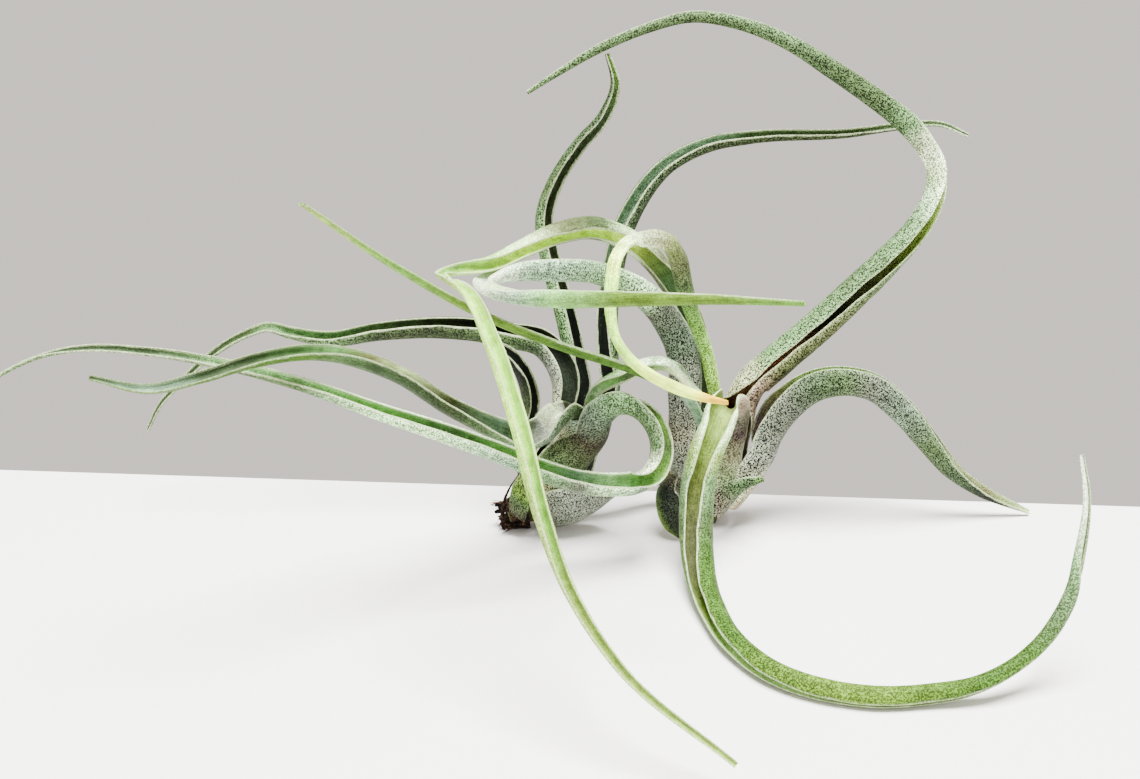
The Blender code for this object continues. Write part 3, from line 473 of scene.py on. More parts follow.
INK = tone(9, 13, 8)
SOOT = tone(28, 34, 24)
WINE = tone(52, 24, 24)
CLAY = tone(150, 112, 80)
BARK = tone(47, 42, 29)
MAUVE = tone(72, 58, 56)
BLUSH = tone(118, 98, 80)
BEIGE = tone(140, 140, 102)
ASH = tone(66, 70, 58)
STONE = tone(84, 80, 64)
PEBBLE = tone(97, 101, 90)
SAGE = tone(73, 89, 70)
LICHEN = tone(100, 128, 100)
MINT = tone(140, 176, 124)
HOLLY = tone(35, 45, 22)
PINE = tone(44, 60, 34)
FERN = tone(52, 70, 36)
MOSS = tone(62, 84, 48)
LEAF = tone(76, 108, 62)
OLIVE = tone(70, 76, 42)
KHAKI = tone(95, 108, 48)
CITRUS = tone(114, 138, 56)
IVY = tone(48, 76, 18)
LEEK = tone(72, 98, 24)
JADE = tone(102, 150, 76)
GRASS = tone(84, 124, 44)
FRESH = tone(110, 158, 52)
GLOW = tone(158, 208, 70)
LEMON = tone(206, 236, 84)
CREAM = tone(165, 196, 130)
AMBER = tone(204, 160, 10)
SILVER = tone(168, 184, 158)
HOAR = tone(180, 194, 150)
CHAR = tone(13, 6, 4)
STRAW = tone(104, 76, 56)
CORK = tone(70, 56, 34)

# How a leaf is coloured: its back and its channel, how white the scale hairs are on each, from 0 to 1, how
# deep the grain between them is, and how white the rim is. The lit flank is the colour of one side of the
# back, where that differs; it is painted light, that side being painted lighter as light falls on it. Each is
# one value, or values at some of the rows of the leaf's table, of which the first and the last hold as far as
# the leaf's ends.
Look = namedtuple("Look", "back channel frost channel_frost grain rim flank", defaults=[None])

LOOKS = {
    "leaf_back_loop": Look(
        back={
            4.2: BLUSH, 5: OLIVE, 6: OLIVE, 8: MOSS, 9: LEAF, 10: MINT, 11: CREAM, 12: HOAR, 13: MOSS,
            14: PINE, 15: PINE, 16: MOSS, 17: FERN, 18: HOLLY, 19: HOLLY, 20: FERN, 21: MOSS, 22: FERN,
        },
        channel={
            2.5: WINE, 3.5: CLAY, 5: CLAY, 6: SOOT, 7: OLIVE, 8: KHAKI, 9: CITRUS, 10: CITRUS, 11: MOSS,
            14: FERN, 22: PINE,
        },
        frost={0: 0.5, 5: 0.4, 8: 0.4, 10.4: 1, 12: 0.9, 13.5: 0.4, 22: 0.35},
        channel_frost={0: 0.1, 7: 0.2},
        grain={6: 0.9, 9: 0.8, 12: 0.7, 14: 0.9, 22: 0.8},
        rim={0: 0.7, 5: 0.5, 8: 0.6},
        # painted light: this side of the back is painted lighter, as light falls on it
        flank={
            4: BEIGE, 5: LEAF, 7: MOSS, 9: LEAF, 10: MINT, 11: CREAM, 12: HOAR, 13: LEAF, 14: FERN,
            15: FERN, 16: MOSS, 18: FERN, 22: MOSS,
        },
    ),
    "leaf_pale_loop": Look(
        back={
            0: FRESH, 3: GLOW, 4: FRESH, 5: GRASS, 6: FERN, 7: OLIVE, 8: KHAKI, 9: BEIGE, 10: CREAM,
            11: LEMON, 12: GLOW, 15: GLOW, 16: LEMON, 17.5: LEMON, 18.4: AMBER,
        },
        channel={0: HOLLY, 6: FERN, 9: OLIVE, 11: KHAKI, 14: CITRUS, 16: GLOW, 18.5: AMBER},
        frost={0: 0.3, 4: 0.4, 5: 0.2, 7: 0.4, 9: 0.8, 10.5: 0.7, 12: 0.2, 15: 0.1, 19: 0},
        channel_frost=0.1,
        grain={0: 0.6, 6: 0.7, 8: 0.5, 12: 0.25, 16: 0.05, 19: 0},
        rim={6: 0.9, 9: 0.8, 14: 0.4, 16: 0.1, 19: 0},
    ),
    "leaf_kinked": Look(
        back={
            3: MOSS, 5: OLIVE, 6: CREAM, 7: FERN, 8: OLIVE, 9: CREAM, 10: FRESH, 13: CITRUS, 16: GLOW,
            17: CITRUS,
        },
        channel={
            0: HOLLY, 3: PINE, 4: LEAF, 5: CITRUS, 6: LEMON, 9: LEMON, 10: GLOW, 11: GRASS, 13: FRESH,
            14: GLOW, 16: GLOW, 17: FRESH, 18: CITRUS,
        },
        frost={0: 0.5, 4: 0.6, 9: 0.5, 11: 0.2, 16: 0.15, 18: 0.3, 20: 0.4},
        channel_frost=0.1,
        grain={0: 0.7, 4: 0.6, 8: 0.4, 12: 0.2, 16: 0.2, 18: 0.4, 20: 0.3},
        rim={8: 1, 12: 0.7, 16: 0.7, 20: 0.5},
    ),
    "leaf_folded": Look(
        back={
            0: CLAY, 1: BEIGE, 2: PEBBLE, 3: STONE, 4: PEBBLE, 5: PEBBLE, 6: SAGE, 8: ASH, 9: MINT,
            10: LEAF, 11: LICHEN, 12: LICHEN, 13: SILVER, 15: SILVER, 16: LICHEN, 17: JADE, 18: LEEK,
            19: LEEK, 20: GRASS,
        },
        channel={
            0: WINE, 5: SOOT, 8: WINE, 9.5: STONE, 11: BEIGE, 12.5: BEIGE, 13.5: SILVER, 15: CREAM,
            16: GRASS, 18: FERN, 20: FRESH,
        },
        frost={0: 0.6, 3: 0.5, 8: 0.5, 11: 0.6, 13: 0.9, 15: 0.9, 16: 0.5, 17: 0.2, 20: 0},
        channel_frost={0: 0.1, 6: 0.3, 9: 0.6, 16: 0.2},
        grain={8: 1, 11: 0.9, 13: 0.4, 16: 0.4, 17: 0.2, 20: 0.1},
        rim={0: 0.8, 10: 0.9, 17: 0.9, 20: 0.4},
    ),
    "leaf_slim": Look(
        back={0: MOSS, 2: LICHEN, 3: LICHEN, 3.7: IVY, 5: IVY, 6.2: LEEK, 7: GRASS, 8: CITRUS},
        channel={0: HOLLY, 4: GRASS, 8: FRESH},
        frost={0: 0.3, 3.7: 0, 6.2: 0, 8: 0.1},
        channel_frost=0.1,
        grain={0: 0.5, 4: 0.2, 8: 0.1},
        rim={0: 0.5, 8: 0.4},
    ),
    "leaf_front_arc": Look(
        back={
            0: CREAM, 1: BEIGE, 2: MAUVE, 3: STONE, 4: BLUSH, 5: CREAM, 6: CREAM, 7: CITRUS, 8: LEAF,
            9: FERN, 10: IVY, 12: IVY, 14: LEEK, 15: LEEK, 17: IVY, 18: IVY, 19: MOSS, 20: LEAF, 21: SILVER,
        },
        channel={
            4: WINE, 5: CITRUS, 7: CITRUS, 8: KHAKI, 9: OLIVE, 10: OLIVE, 11: CITRUS, 12: CREAM,
            13.5: CREAM, 19: FERN, 22: MOSS,
        },
        frost={0: 0.6, 4: 0.9, 6: 0.7, 8: 0.4, 10: 0.2, 12: 0.1, 17: 0.1, 19: 0.4, 22: 1},
        channel_frost={0: 0.1, 4: 0.15, 8: 0.1, 22: 0.2},
        grain={0: 0.7, 5: 0.4, 8: 0.6, 11: 0.7, 15: 0.5, 19: 0.6, 22: 0.3},
        rim={0: 0.8, 5: 1, 10: 1, 13: 0.7, 17: 0.5, 22: 0.6},
    ),
    "leaf_drooping": Look(
        back={
            0: BLUSH, 1: BEIGE, 2: PEBBLE, 3: ASH, 4: ASH, 5: PINE, 6: FERN, 7: ASH, 8: SAGE, 9: FERN,
            10: PINE, 11: INK, 12: HOLLY,
        },
        channel={0: WINE, 3: MAUVE, 4: BEIGE, 5: CREAM, 7: CREAM, 9: LEAF, 10: HOAR, 11: BEIGE, 12: CREAM},
        frost={3: 0.6, 8: 0.5, 11: 0.3},
        channel_frost={0: 0.05, 11: 0.2},
        grain={8: 1, 10: 0.9, 12: 0.6},
        rim={0: 0.8, 4: 0.6, 8: 0.8, 12: 0.9},
    ),
    "leaf_rear_s": Look(
        back={0: SAGE, 2: MOSS, 3: LEAF, 5: LEAF, 6.5: FERN, 8: PINE, 9.5: PINE, 10.5: HOLLY, 12: FERN},
        channel={4: INK, 5: HOLLY, 7: HOLLY, 9: PINE, 10.5: IVY},
        frost={0: 0.5, 6: 0.4, 8: 0.2, 12: 0.1},
        channel_frost={0: 0.05, 11: 0.1},
        grain={0: 1, 11: 0.9},
        rim={0: 0.9, 11: 0.7},
    ),
    "leaf_rear_right": Look(
        back={0: SAGE, 3: MOSS, 5: MOSS, 6: PINE, 8: HOLLY, 11: HOLLY, 12: LEAF, 13: LICHEN},
        channel={4: INK, 5: SAGE, 6: LICHEN, 8: LICHEN, 9: MOSS, 10: FERN, 13: PINE},
        frost={7: 0.5, 9: 0.2, 12: 0.4, 13: 0.9},
        channel_frost={0: 0.05, 7: 0.3, 13: 0.2},
        grain={8: 1, 13: 0.8},
        rim={0: 1, 13: 0.6},
    ),
    "leaf_long_left": Look(
        back={
            0: OLIVE, 2: BEIGE, 3: PEBBLE, 4: PINE, 5: FERN, 6: HOLLY, 7: HOLLY, 8: MOSS, 9: FERN, 12: MOSS,
            15: FERN,
        },
        channel={
            0: INK, 2: SOOT, 3: SOOT, 4: INK, 5.4: INK, 6: HOLLY, 7: MOSS, 8: LEAF, 10: LEAF, 11: FERN,
            12.5: PINE, 15: HOLLY,
        },
        frost={0: 0.4, 3: 0.5, 5: 0.3},
        channel_frost={0: 0.02, 15: 0.15},
        grain={6: 0.9, 10: 0.8, 15: 0.6},
        rim={0: 1, 15: 0.6},
    ),
    "leaf_short_dark": Look(
        back={0: PINE, 3: HOLLY, 4: INK},
        channel=INK,
        frost={0: 0.3, 5: 0.2},
        channel_frost={0: 0, 5: 0.05},
        grain={0: 0.9, 5: 0.7},
        rim={0: 0.9, 5: 0.8},
    ),
    "leaf_coiled": Look(
        back={
            0: BEIGE, 1: FERN, 2: BARK, 3: SAGE, 4: LEAF, 5: MOSS, 7: MOSS, 8: HOAR, 9: SAGE, 10: MINT,
            11: ASH, 12: LEAF, 13: LICHEN, 14: MINT, 15: MINT, 16: FERN, 17: FERN, 21: MOSS,
        },
        channel={
            0: INK, 3: HOLLY, 5: FERN, 6: GRASS, 7: FERN, 8: GRASS, 9: JADE, 10: MINT, 11: LICHEN, 12: JADE,
            13: JADE, 14: LEAF, 15: JADE, 17: MINT, 18: PINE,
        },
        frost={0: 0.2, 2: 0.3, 3: 0.5, 6: 0.6, 10: 0.7, 14: 0.5, 18: 0.3},
        channel_frost={0: 0.1, 7: 0.15, 21: 0.2},
        grain={3: 0.9, 6: 0.7, 10: 0.6, 14: 0.6, 21: 0.5},
        rim={0: 0.8, 3: 1, 12: 1, 21: 0.6},
    ),
    "leaf_lower_left": Look(
        back={
            0: SAGE, 1: BEIGE, 2: LICHEN, 3: HOLLY, 4: FERN, 5: SAGE, 7: MOSS, 8: HOLLY, 9: PINE, 10: PINE,
            11: MOSS, 12: IVY,
        },
        channel={
            0: INK, 2.5: ASH, 3.3: PEBBLE, 4: HOAR, 5: PEBBLE, 6: FERN, 7: LICHEN, 8: OLIVE, 9: HOAR,
            10: BEIGE, 11: MINT, 12: LEAF, 13: PINE, 14: PINE, 15: LICHEN, 16: FERN,
        },
        frost={0: 0.6, 4: 0.8, 6: 0.6, 8: 0.1, 16: 0.05},
        channel_frost={0: 0, 3.5: 0.05, 5.5: 0.4, 8: 0.2, 16: 0.1},
        grain={0: 0.8, 5: 0.7, 8: 0.4, 10: 0.2, 16: 0.3},
        rim={7: 1, 9: 0.5, 16: 0.3},
    ),
    "leaf_small_arch": Look(
        back={0: MOSS, 3: LEAF, 4: JADE, 5: HOAR, 6: MINT, 7: FERN, 9: SAGE},
        channel={0: INK, 1.5: JADE, 2: MINT, 3: JADE, 4: FERN, 5: FERN, 6: CREAM, 7: HOAR},
        frost={0: 0.4, 4: 0.6, 6: 1},
        channel_frost={0: 0.1, 6: 0.2, 9: 0.6},
        grain={0: 0.8, 5: 0.5, 9: 0.4},
        rim=1,
    ),
    "leaf_hooked": Look(
        back={0: BARK, 1: INK, 2: SOOT, 3: SOOT, 4: HOLLY},
        channel={0: INK, 4: SOOT},
        frost={0: 0.4, 1: 0.2, 2: 0.1},
        channel_frost=0.1,
        grain={0: 1, 2: 0.9, 3: 0.7},
        rim=0.4,
        # painted light: this side of the back is painted lighter, as light falls on it
        flank={0: HOLLY, 1.2: PINE, 2: LEEK},
    ),
    "scale_right": Look(
        back={1: STONE, 2: MOSS, 3: PINE, 4: IVY},
        channel={0: HOLLY, 4: FERN},
        frost={0: 0.5, 4: 0.4},
        channel_frost={0: 0.1, 3: 0.2},
        grain=1,
        rim=0.6,
    ),
    "scale_silver": Look(
        back={1: ASH, 2: PEBBLE},
        channel={0: INK, 4: HOLLY},
        frost={3: 0.7, 4: 0.5},
        channel_frost={0: 0.1, 4: 0.2},
        grain={0: 0.8, 3: 0.9, 4: 1},
        rim={0: 1, 4: 0.9},
    ),
    "scale_green": Look(
        back={0: BARK, 0.7: FERN, 1: LEEK, 2: OLIVE},
        channel=WINE,
        frost={0: 0.15, 1: 0.1, 2: 0.4},
        channel_frost=0,
        grain={0: 0.9, 2: 0.8},
        rim={0: 0, 2: 0.2},
    ),
}


def along(stops, row):
    """A look's values at places among a leaf's rows."""
    if not isinstance(stops, dict):
        stops = {0: stops}
    values = np.array([np.atleast_1d(value) for value in stops.values()], float)
    columns = [np.interp(row, list(stops), column) for column in values.T]
    return np.stack(columns, axis=-1)


# ---------- Leaf meshes ----------

RIPPLE = 0.02  # how much a blade's width wavers, as a share
WAVES = (9.0, 17.0, 31.0)  # lengths of the waves in it
RIM_BAND = 0.42  # how far the white of a rim reaches in from the edge
CHANNEL_GRAIN = 0.4  # how grainy a channel is beside its back

Section = namedtuple("Section", "angle distance is_back")
Blade = namedtuple("Blade", "points outward tint frost grain rim inset uv")


def wavering(along_leaf, seed):
    """A gentle seeded waver along a leaf, between about -1 and 1."""
    rng = random.Random(seed)
    total = np.zeros(len(along_leaf))
    for length in WAVES:
        total += np.sin(2 * math.pi * along_leaf / length + rng.uniform(0, 2 * math.pi)) / len(WAVES)
    return total


def section_of(at, radius, arc):
    """Each ring of a blade: its points' angles round the channel, their distances and which are on the back.

    A ring runs along the back from edge to edge, round a rim, and through the channel to the other rim.
    """
    share = np.linspace(-1, 1, SIDES)
    wall = np.where(2 * at.radius > SHEATH_WIDTH, SHEATH_WALL, BLADE_WALL)
    wall = np.minimum(wall, MOST_WALL * at.radius)
    rim_wall = np.minimum(wall, THINNEST)
    body = np.cos(share * math.pi / 2) ** 0.5
    thick = rim_wall[:, None] + (wall - rim_wall)[:, None] * body
    bulge = 0.5 * rim_wall / radius  # how far the rounded rim passes the last point, in radians
    fan, edge = arc[:, None] * share, (arc + bulge)[:, None]
    angle = np.concatenate([fan, edge, fan[:, ::-1], -edge], axis=1)
    full = np.repeat(radius[:, None], SIDES, axis=1)
    middle = (radius - rim_wall / 2)[:, None]
    distance = np.concatenate([full, middle, (full - thick)[:, ::-1], middle], axis=1)
    is_back = np.ones(angle.shape[1])
    is_back[SIDES + 1 : -1] = 0
    return Section(angle, distance, is_back)


def tint_of(look, row, section, arc):
    """The colour at each point, which turns from the painted lit flank to the back over the middle of the
    back.
    """
    # painted light: how much of the lighter, lit colour one side of the back takes
    flank = np.clip(0.5 - 2 * section.angle / arc[:, None], 0, 1)[..., None]
    back = blend(along(look.back, row)[:, None], along(look.flank or look.back, row)[:, None], flank)
    return blend(along(look.channel, row)[:, None], back, section.is_back[None, :, None])


def blade_of(name, rows):
    """The rings of points of a leaf with what its surface looks like at each point."""
    at = stations(rows)
    look = LOOKS[name]
    arc = at.arc * (1 + RIPPLE * wavering(at.along, name + "arc"))
    radius = at.radius * (1 - RIPPLE * np.abs(wavering(at.along, name + "radius")))
    section = section_of(at, radius, arc)
    angle, is_back = section.angle, section.is_back
    across = np.cross(at.tangent, at.facing)
    direction = np.sin(angle)[..., None] * across[:, None] - np.cos(angle)[..., None] * at.facing[:, None]
    points = at.line[:, None] + section.distance[..., None] * direction
    outward = direction * np.where(is_back > 0, 1, -1)[None, :, None]
    rim_up, rim_out = np.sin(arc)[:, None] * at.facing, np.cos(arc)[:, None] * across
    outward[:, SIDES] = rim_up + rim_out
    outward[:, -1] = rim_up - rim_out
    tint = tint_of(look, at.row, section, arc)
    frost = blend(along(look.channel_frost, at.row), along(look.frost, at.row), is_back)
    grain = along(look.grain, at.row) * blend(CHANNEL_GRAIN, 1, is_back)
    rim = np.repeat(along(look.rim, at.row), angle.shape[1], axis=1)
    inset = np.maximum(arc[:, None] - np.abs(angle), 0) * radius[:, None]
    uv = np.stack([angle * radius[:, None], np.repeat(at.along[:, None], angle.shape[1], axis=1)], axis=-1)
    return Blade(points, outward, tint, frost, grain, rim, inset, uv)


def grid_faces(rows, around):
    """Quads that join rings of points, and a strip of quads across each end."""
    i, k = np.meshgrid(np.arange(rows - 1), np.arange(around), indexing="ij")
    ring, next_ring, after = i * around, (i + 1) * around, (k + 1) % around
    quads = np.stack([ring + k, ring + after, next_ring + after, next_ring + k], axis=-1)
    faces = quads.reshape(-1, 4).tolist()
    # A ring starts at one rim, so point k of the back lies in front of point -k of the channel.
    for start, turned in ((0, False), ((rows - 1) * around, True)):
        for k in range(around // 2):
            cap = [start + k, start + k + 1, start + (around - k - 1), start + (around - k) % around]
            cap = list(dict.fromkeys(cap))
            faces.append(cap[::-1] if turned else cap)
    return faces


def paint(mesh, colours):
    """Gives each vertex the colour that the shaders read as its tint."""
    tint = np.ones((len(colours), 4))
    tint[:, :3] = colours
    mesh.attributes.new("tint", "FLOAT_COLOR", "POINT").data.foreach_set("color", tint.ravel())


def leaf_mesh(name, blade):
    """One closed body from the blade's rings, each turned by a point so that it starts at the rim."""
    rings, around = blade.points.shape[:2]
    blade = Blade(*(np.roll(values, 1, axis=1) for values in blade))
    points = placed(blade.points.reshape(-1, 3))
    mesh = bpy.data.meshes.new(name)
    mesh.from_pydata([tuple(point) for point in points], [], grid_faces(rings, around))
    paint(mesh, blade.tint.reshape(-1, 3))
    for kind in ("frost", "grain", "rim", "inset"):
        values = getattr(blade, kind).ravel()
        mesh.attributes.new(kind, "FLOAT", "POINT").data.foreach_set("value", values)
    corners = np.zeros(len(mesh.loops), dtype=int)
    mesh.loops.foreach_get("vertex_index", corners)
    uv = blade.uv.reshape(-1, 2)[corners]
    mesh.uv_layers.new(name="blade").data.foreach_set("uv", uv.ravel())
    mesh.shade_smooth()
    mesh.validate()
    return mesh


HAIR_WIDTH = 0.1
HAIR_LENGTH = 0.42
HAIR_DENSITY = 1.8  # hairs to a square millimetre where the frost is full
HAIR_SINK = 0.04  # how deep a hair is set in the blade
HAIR_SPLAY = 0.9  # how far hairs lean to either side
HAIR_SWEEP = 0.35  # and how far they lean along the blade
RIM_HAIRS = 0.5  # how much more hair a white rim has
NUDGE = 1e-6  # keeps a direction from being nothing where the blade ends in a point


def scale_hairs(blade, rng):
    """Narrow triangles that stand on the blade where it is frosted: their corners and their colours."""
    points, outward = blade.points, blade.outward
    around = points.shape[1]
    following = (np.arange(around) + 1) % around
    a, b, c, d = points[:-1], points[:-1, following], points[1:, following], points[1:]
    area = np.linalg.norm(np.cross(c - a, d - b), axis=-1) / 2
    near_rim = blade.inset[:-1] < RIM_BAND
    frost = np.clip(blade.frost[:-1] + RIM_HAIRS * blade.rim[:-1] * near_rim, 0, 1)
    weight = (area * frost).ravel()
    count = int(weight.sum() * HAIR_DENSITY)
    cell = rng.choice(weight.size, size=count, p=weight / weight.sum())
    i, k = np.divmod(cell, around)
    s, t = rng.random((count, 1)), rng.random((count, 1))
    root = blend(blend(a[i, k], b[i, k], s), blend(d[i, k], c[i, k], s), t)
    normal = unit(blend(outward[i, k], outward[i, following[k]], s))
    way = unit(c[i, k] - b[i, k] + NUDGE)
    turn = rng.uniform(0, 2 * math.pi, (count, 1))
    flat = np.cos(turn) * way + np.sin(turn) * np.cross(normal, way)
    splay = HAIR_SPLAY * rng.normal(size=(count, 1)) * np.cross(flat, normal)
    reach = HAIR_LENGTH * rng.uniform(0.5, 1.0, (count, 1)) * unit(normal + splay + HAIR_SWEEP * way)
    base = HAIR_WIDTH * rng.uniform(0.6, 1.0, (count, 1)) / 2 * flat
    foot = root - HAIR_SINK * normal
    corners = np.stack([foot - base, foot + base, root + reach], axis=1)
    corners[..., 2] = np.maximum(corners[..., 2], 0)  # hairs are bent flat where the leaf lies on the ground
    return corners, blade.tint[i, k]


def fuzz_mesh(name, blade):
    """A leaf's scale hairs as one mesh, with a seed from the leaf's name."""
    seed = len(name) + ord(name[-1])
    corners, colours = scale_hairs(blade, np.random.default_rng(seed))
    count = len(corners)
    mesh = bpy.data.meshes.new(name + "_fuzz")
    mesh.vertices.add(3 * count)
    mesh.vertices.foreach_set("co", placed(corners.reshape(-1, 3)).ravel())
    mesh.loops.add(3 * count)
    mesh.loops.foreach_set("vertex_index", np.arange(3 * count))
    mesh.polygons.add(count)
    mesh.polygons.foreach_set("loop_start", np.arange(0, 3 * count, 3))
    paint(mesh, np.repeat(colours, 3, axis=0))
    mesh.update()
    return mesh


# ---------- Materials ----------

COLOUR_A, COLOUR_B, MIXED_COLOUR = 6, 7, 2  # the colour sockets of a Mix node, whose names are shared


class Signal:
    """A node's output, so that numbers over a surface can be written as a sum: 1 - 0.5 * signal."""

    def __init__(self, tree, socket):
        self.tree = tree
        self.socket = socket

    def __add__(self, other):
        return self.tree.math("ADD", self, other)

    def __sub__(self, other):
        return self.tree.math("SUBTRACT", self, other)

    def __mul__(self, other):
        return self.tree.math("MULTIPLY", self, other)

    def __rsub__(self, other):
        return self.tree.math("SUBTRACT", other, self)

    __radd__ = __add__
    __rmul__ = __mul__


class Tree:
    """A material's node tree, with short ways to add a node and to link it."""

    def __init__(self, material):
        self.tree = material.node_tree
        self.shader = self.tree.nodes["Principled BSDF"]

    def set(self, **settings):
        """Sets the shader's own sockets: Sheen_Weight is its Sheen Weight."""
        for name, value in settings.items():
            self.feed(self.shader.inputs[name.replace("_", " ")], value)

    def feed(self, socket, value):
        """Links a socket to a signal, or sets its value."""
        if isinstance(value, Signal):
            self.tree.links.new(value.socket, socket)
        else:
            socket.default_value = value

    def add(self, kind, output, inputs, **settings):
        """Adds a node, feeds its inputs and gives its output."""
        node = self.tree.nodes.new(kind)
        for key, value in settings.items():
            setattr(node, key, value)
        for name, value in inputs.items():
            self.feed(node.inputs[name], value)
        return Signal(self, node.outputs[output])

    def place(self):
        return self.add("ShaderNodeTexCoord", "Object", {})

    def attribute(self, name, output="Fac"):
        return self.add("ShaderNodeAttribute", output, {}, attribute_name=name)

    def along_blade(self, scale):
        """The place on a leaf's blade, across it and along it, each times its scale."""
        blade = self.add("ShaderNodeUVMap", "UV", {}, uv_map="blade")
        return self.add("ShaderNodeMapping", "Vector", {"Vector": blade, "Scale": scale})

    def noise(self, vector, scale, detail=2.0, roughness=0.5):
        inputs = {"Vector": vector, "Scale": scale, "Detail": detail, "Roughness": roughness}
        return self.add("ShaderNodeTexNoise", "Fac", inputs)

    def math(self, operation, first, second, clamp=False):
        inputs = {0: first, 1: second}
        return self.add("ShaderNodeMath", "Value", inputs, operation=operation, use_clamp=clamp)

    def ramp(self, value, low, high, to_low=0.0, to_high=1.0):
        inputs = {"Value": value, "From Min": low, "From Max": high, "To Min": to_low, "To Max": to_high}
        return self.add("ShaderNodeMapRange", "Result", inputs, interpolation_type="SMOOTHSTEP")

    def mix(self, share, first, second):
        inputs = {"Factor": share, COLOUR_A: first, COLOUR_B: second}
        return self.add("ShaderNodeMix", MIXED_COLOUR, inputs, data_type="RGBA")

    def gain(self, colour, factor):
        """The colour times a number."""
        inputs = {"Vector": colour, "Scale": factor}
        return self.add("ShaderNodeVectorMath", "Vector", inputs, operation="SCALE")

    def grey(self, colour):
        return self.add("ShaderNodeRGBToBW", "Val", {"Color": colour})

    def bump(self, height, strength, distance):
        inputs = {"Height": height, "Strength": strength, "Distance": distance}
        self.set(Normal=self.add("ShaderNodeBump", "Normal", inputs))


DRY = 0.08  # specular level of dry, matt skin
SOFT = (0.3, 0.7)  # where noise starts and ends its rise, for soft blotches
FIRM = (0.34, 0.66)  # and for firmer specks

# Noise cells to a metre.
GRAIN_SCALE = 4400  # the speckle of scale hairs
SPECK_SCALE = 2700  # its coarser specks
CLUMP_SCALE = 430  # blotches where the hairs are thicker
HUSK_SCALE = 900
STEM_SCALE = 300
FLOOR_SCALE = 700
STREAKS = (2.6, 0.16, 1)  # noise cells to a millimetre across and along a blade

FINE_SHARE = 0.45  # of the finer speckle in the whole
SPECK_EDGE = (0.42, 0.62)  # where the speckle turns from dark to pale
SWAY = 0.45  # how much blotches and streaks sway the hairs and the flesh
FRINGE = 2.2  # how far in from the edge the scale hairs are thicker, in millimetres
COVER, FRINGE_COVER = 0.32, 0.4  # how much of the flesh full frost hides, and how much more in the fringe
FRINGE_GLOW = 1.2  # how much brighter the fringe is
DARKEN, LIGHTEN = 0.97, 1.4  # how much a full grain does so between the specks and on them
SHEEN, SHEEN_ROUGHNESS = 0.15, 0.3  # the glow of fine hairs that are seen edge on


def new_material(name, roughness):
    """A material with a dry, matt skin, and its node tree."""
    made = bpy.data.materials.new(name)
    made.use_nodes = True
    tree = Tree(made)
    tree.set(Roughness=roughness, Specular_IOR_Level=DRY)
    return made, tree


def leaf_material():
    """A green blade with silver scale hairs whose speckle lightens and darkens the tint about its mean."""
    made, tree = new_material("leaf", roughness=0.62)
    tree.set(Sheen_Weight=SHEEN, Sheen_Roughness=SHEEN_ROUGHNESS, Sheen_Tint=(*HOAR, 1))
    tint = tree.attribute("tint", "Color")
    frost, grain, rim, inset = map(tree.attribute, ("frost", "grain", "rim", "inset"))
    place = tree.place()
    fine = tree.ramp(tree.noise(place, GRAIN_SCALE, detail=1.0), *FIRM)
    coarse = tree.ramp(tree.noise(place, SPECK_SCALE, detail=1.0), *FIRM)
    speck = tree.ramp(FINE_SHARE * fine + (1 - FINE_SHARE) * coarse, *SPECK_EDGE)
    clump = tree.ramp(tree.noise(place, CLUMP_SCALE), *SOFT)
    streak = tree.ramp(tree.noise(tree.along_blade(STREAKS), 1.0), *SOFT)
    sway = SWAY * (clump + streak - 1)
    fringe = frost * tree.ramp(inset, 0.0, FRINGE, 1.0, 0.0)

    flesh = tree.gain(tint, 1 + sway + FRINGE_GLOW * fringe)
    silvery = tree.gain(SILVER / SILVER.mean(), tree.grey(flesh))
    cover = COVER + 0.5 * sway + FRINGE_COVER * fringe
    frosted = tree.mix(tree.math("MULTIPLY", frost, cover, clamp=True), flesh, silvery)
    depth = DARKEN * grain
    speckled = tree.mix(speck, tree.gain(flesh, 1 - depth), tree.gain(frosted, 1 + LIGHTEN * depth))
    near_rim = tree.ramp(inset + 0.5 * sway, 0.2 * RIM_BAND, RIM_BAND, 1.0, 0.0)
    edge = rim * near_rim * (0.5 + 0.5 * speck)
    tree.set(Base_Color=tree.mix(edge, speckled, (*HOAR, 1)))
    tree.bump(speck + 0.5 * streak, strength=0.45, distance=0.15 * MM)
    return made


def fuzz_material():
    """Silver hairs that carry some of the leaf's own tint."""
    made, tree = new_material("fuzz", roughness=0.55)
    silver = tree.ramp(tree.noise(tree.place(), CLUMP_SCALE, 1.0), *SOFT, to_low=0.1, to_high=0.5)
    bright = tree.gain(tree.attribute("tint", "Color"), 1.4)
    tree.set(Base_Color=tree.mix(silver, bright, (*SILVER, 1)))
    return made


def husk_material():
    """A dark, dry sheath with paler fibres."""
    made, tree = new_material("husk", roughness=0.85)
    fibres = tree.noise(tree.place(), HUSK_SCALE, detail=4.0, roughness=0.7)
    tree.set(Base_Color=tree.mix(tree.ramp(fibres, 0.5, 0.74), (*CHAR, 1), (*STRAW, 1)))
    tree.bump(fibres, strength=0.8, distance=0.3 * MM)
    return made


def stem_material():
    """Woody skin in blotches of brown and olive."""
    made, tree = new_material("stem", roughness=0.8)
    blotch = tree.noise(tree.place(), STEM_SCALE, detail=4.0)
    tree.set(Base_Color=tree.mix(tree.ramp(blotch, 0.4, 0.6), (*CORK, 1), (*OLIVE, 1)))
    tree.bump(blotch, strength=0.6, distance=0.4 * MM)
    return made


def floor_material():
    """A pale, faintly grained board."""
    made, tree = new_material("floor", roughness=0.9)
    grain = tree.noise(tree.place(), FLOOR_SCALE, detail=4.0, roughness=0.7)
    tree.set(Base_Color=tree.mix(grain, (0.80, 0.78, 0.75, 1), (0.88, 0.87, 0.85, 1)))
    tree.bump(grain, strength=0.25, distance=0.6 * MM)
    return made


# ---------- Pieces ----------


def link_new(name, data):
    """An object in the scene that shows the data."""
    made = bpy.data.objects.new(name, data)
    bpy.context.scene.collection.objects.link(made)
    return made


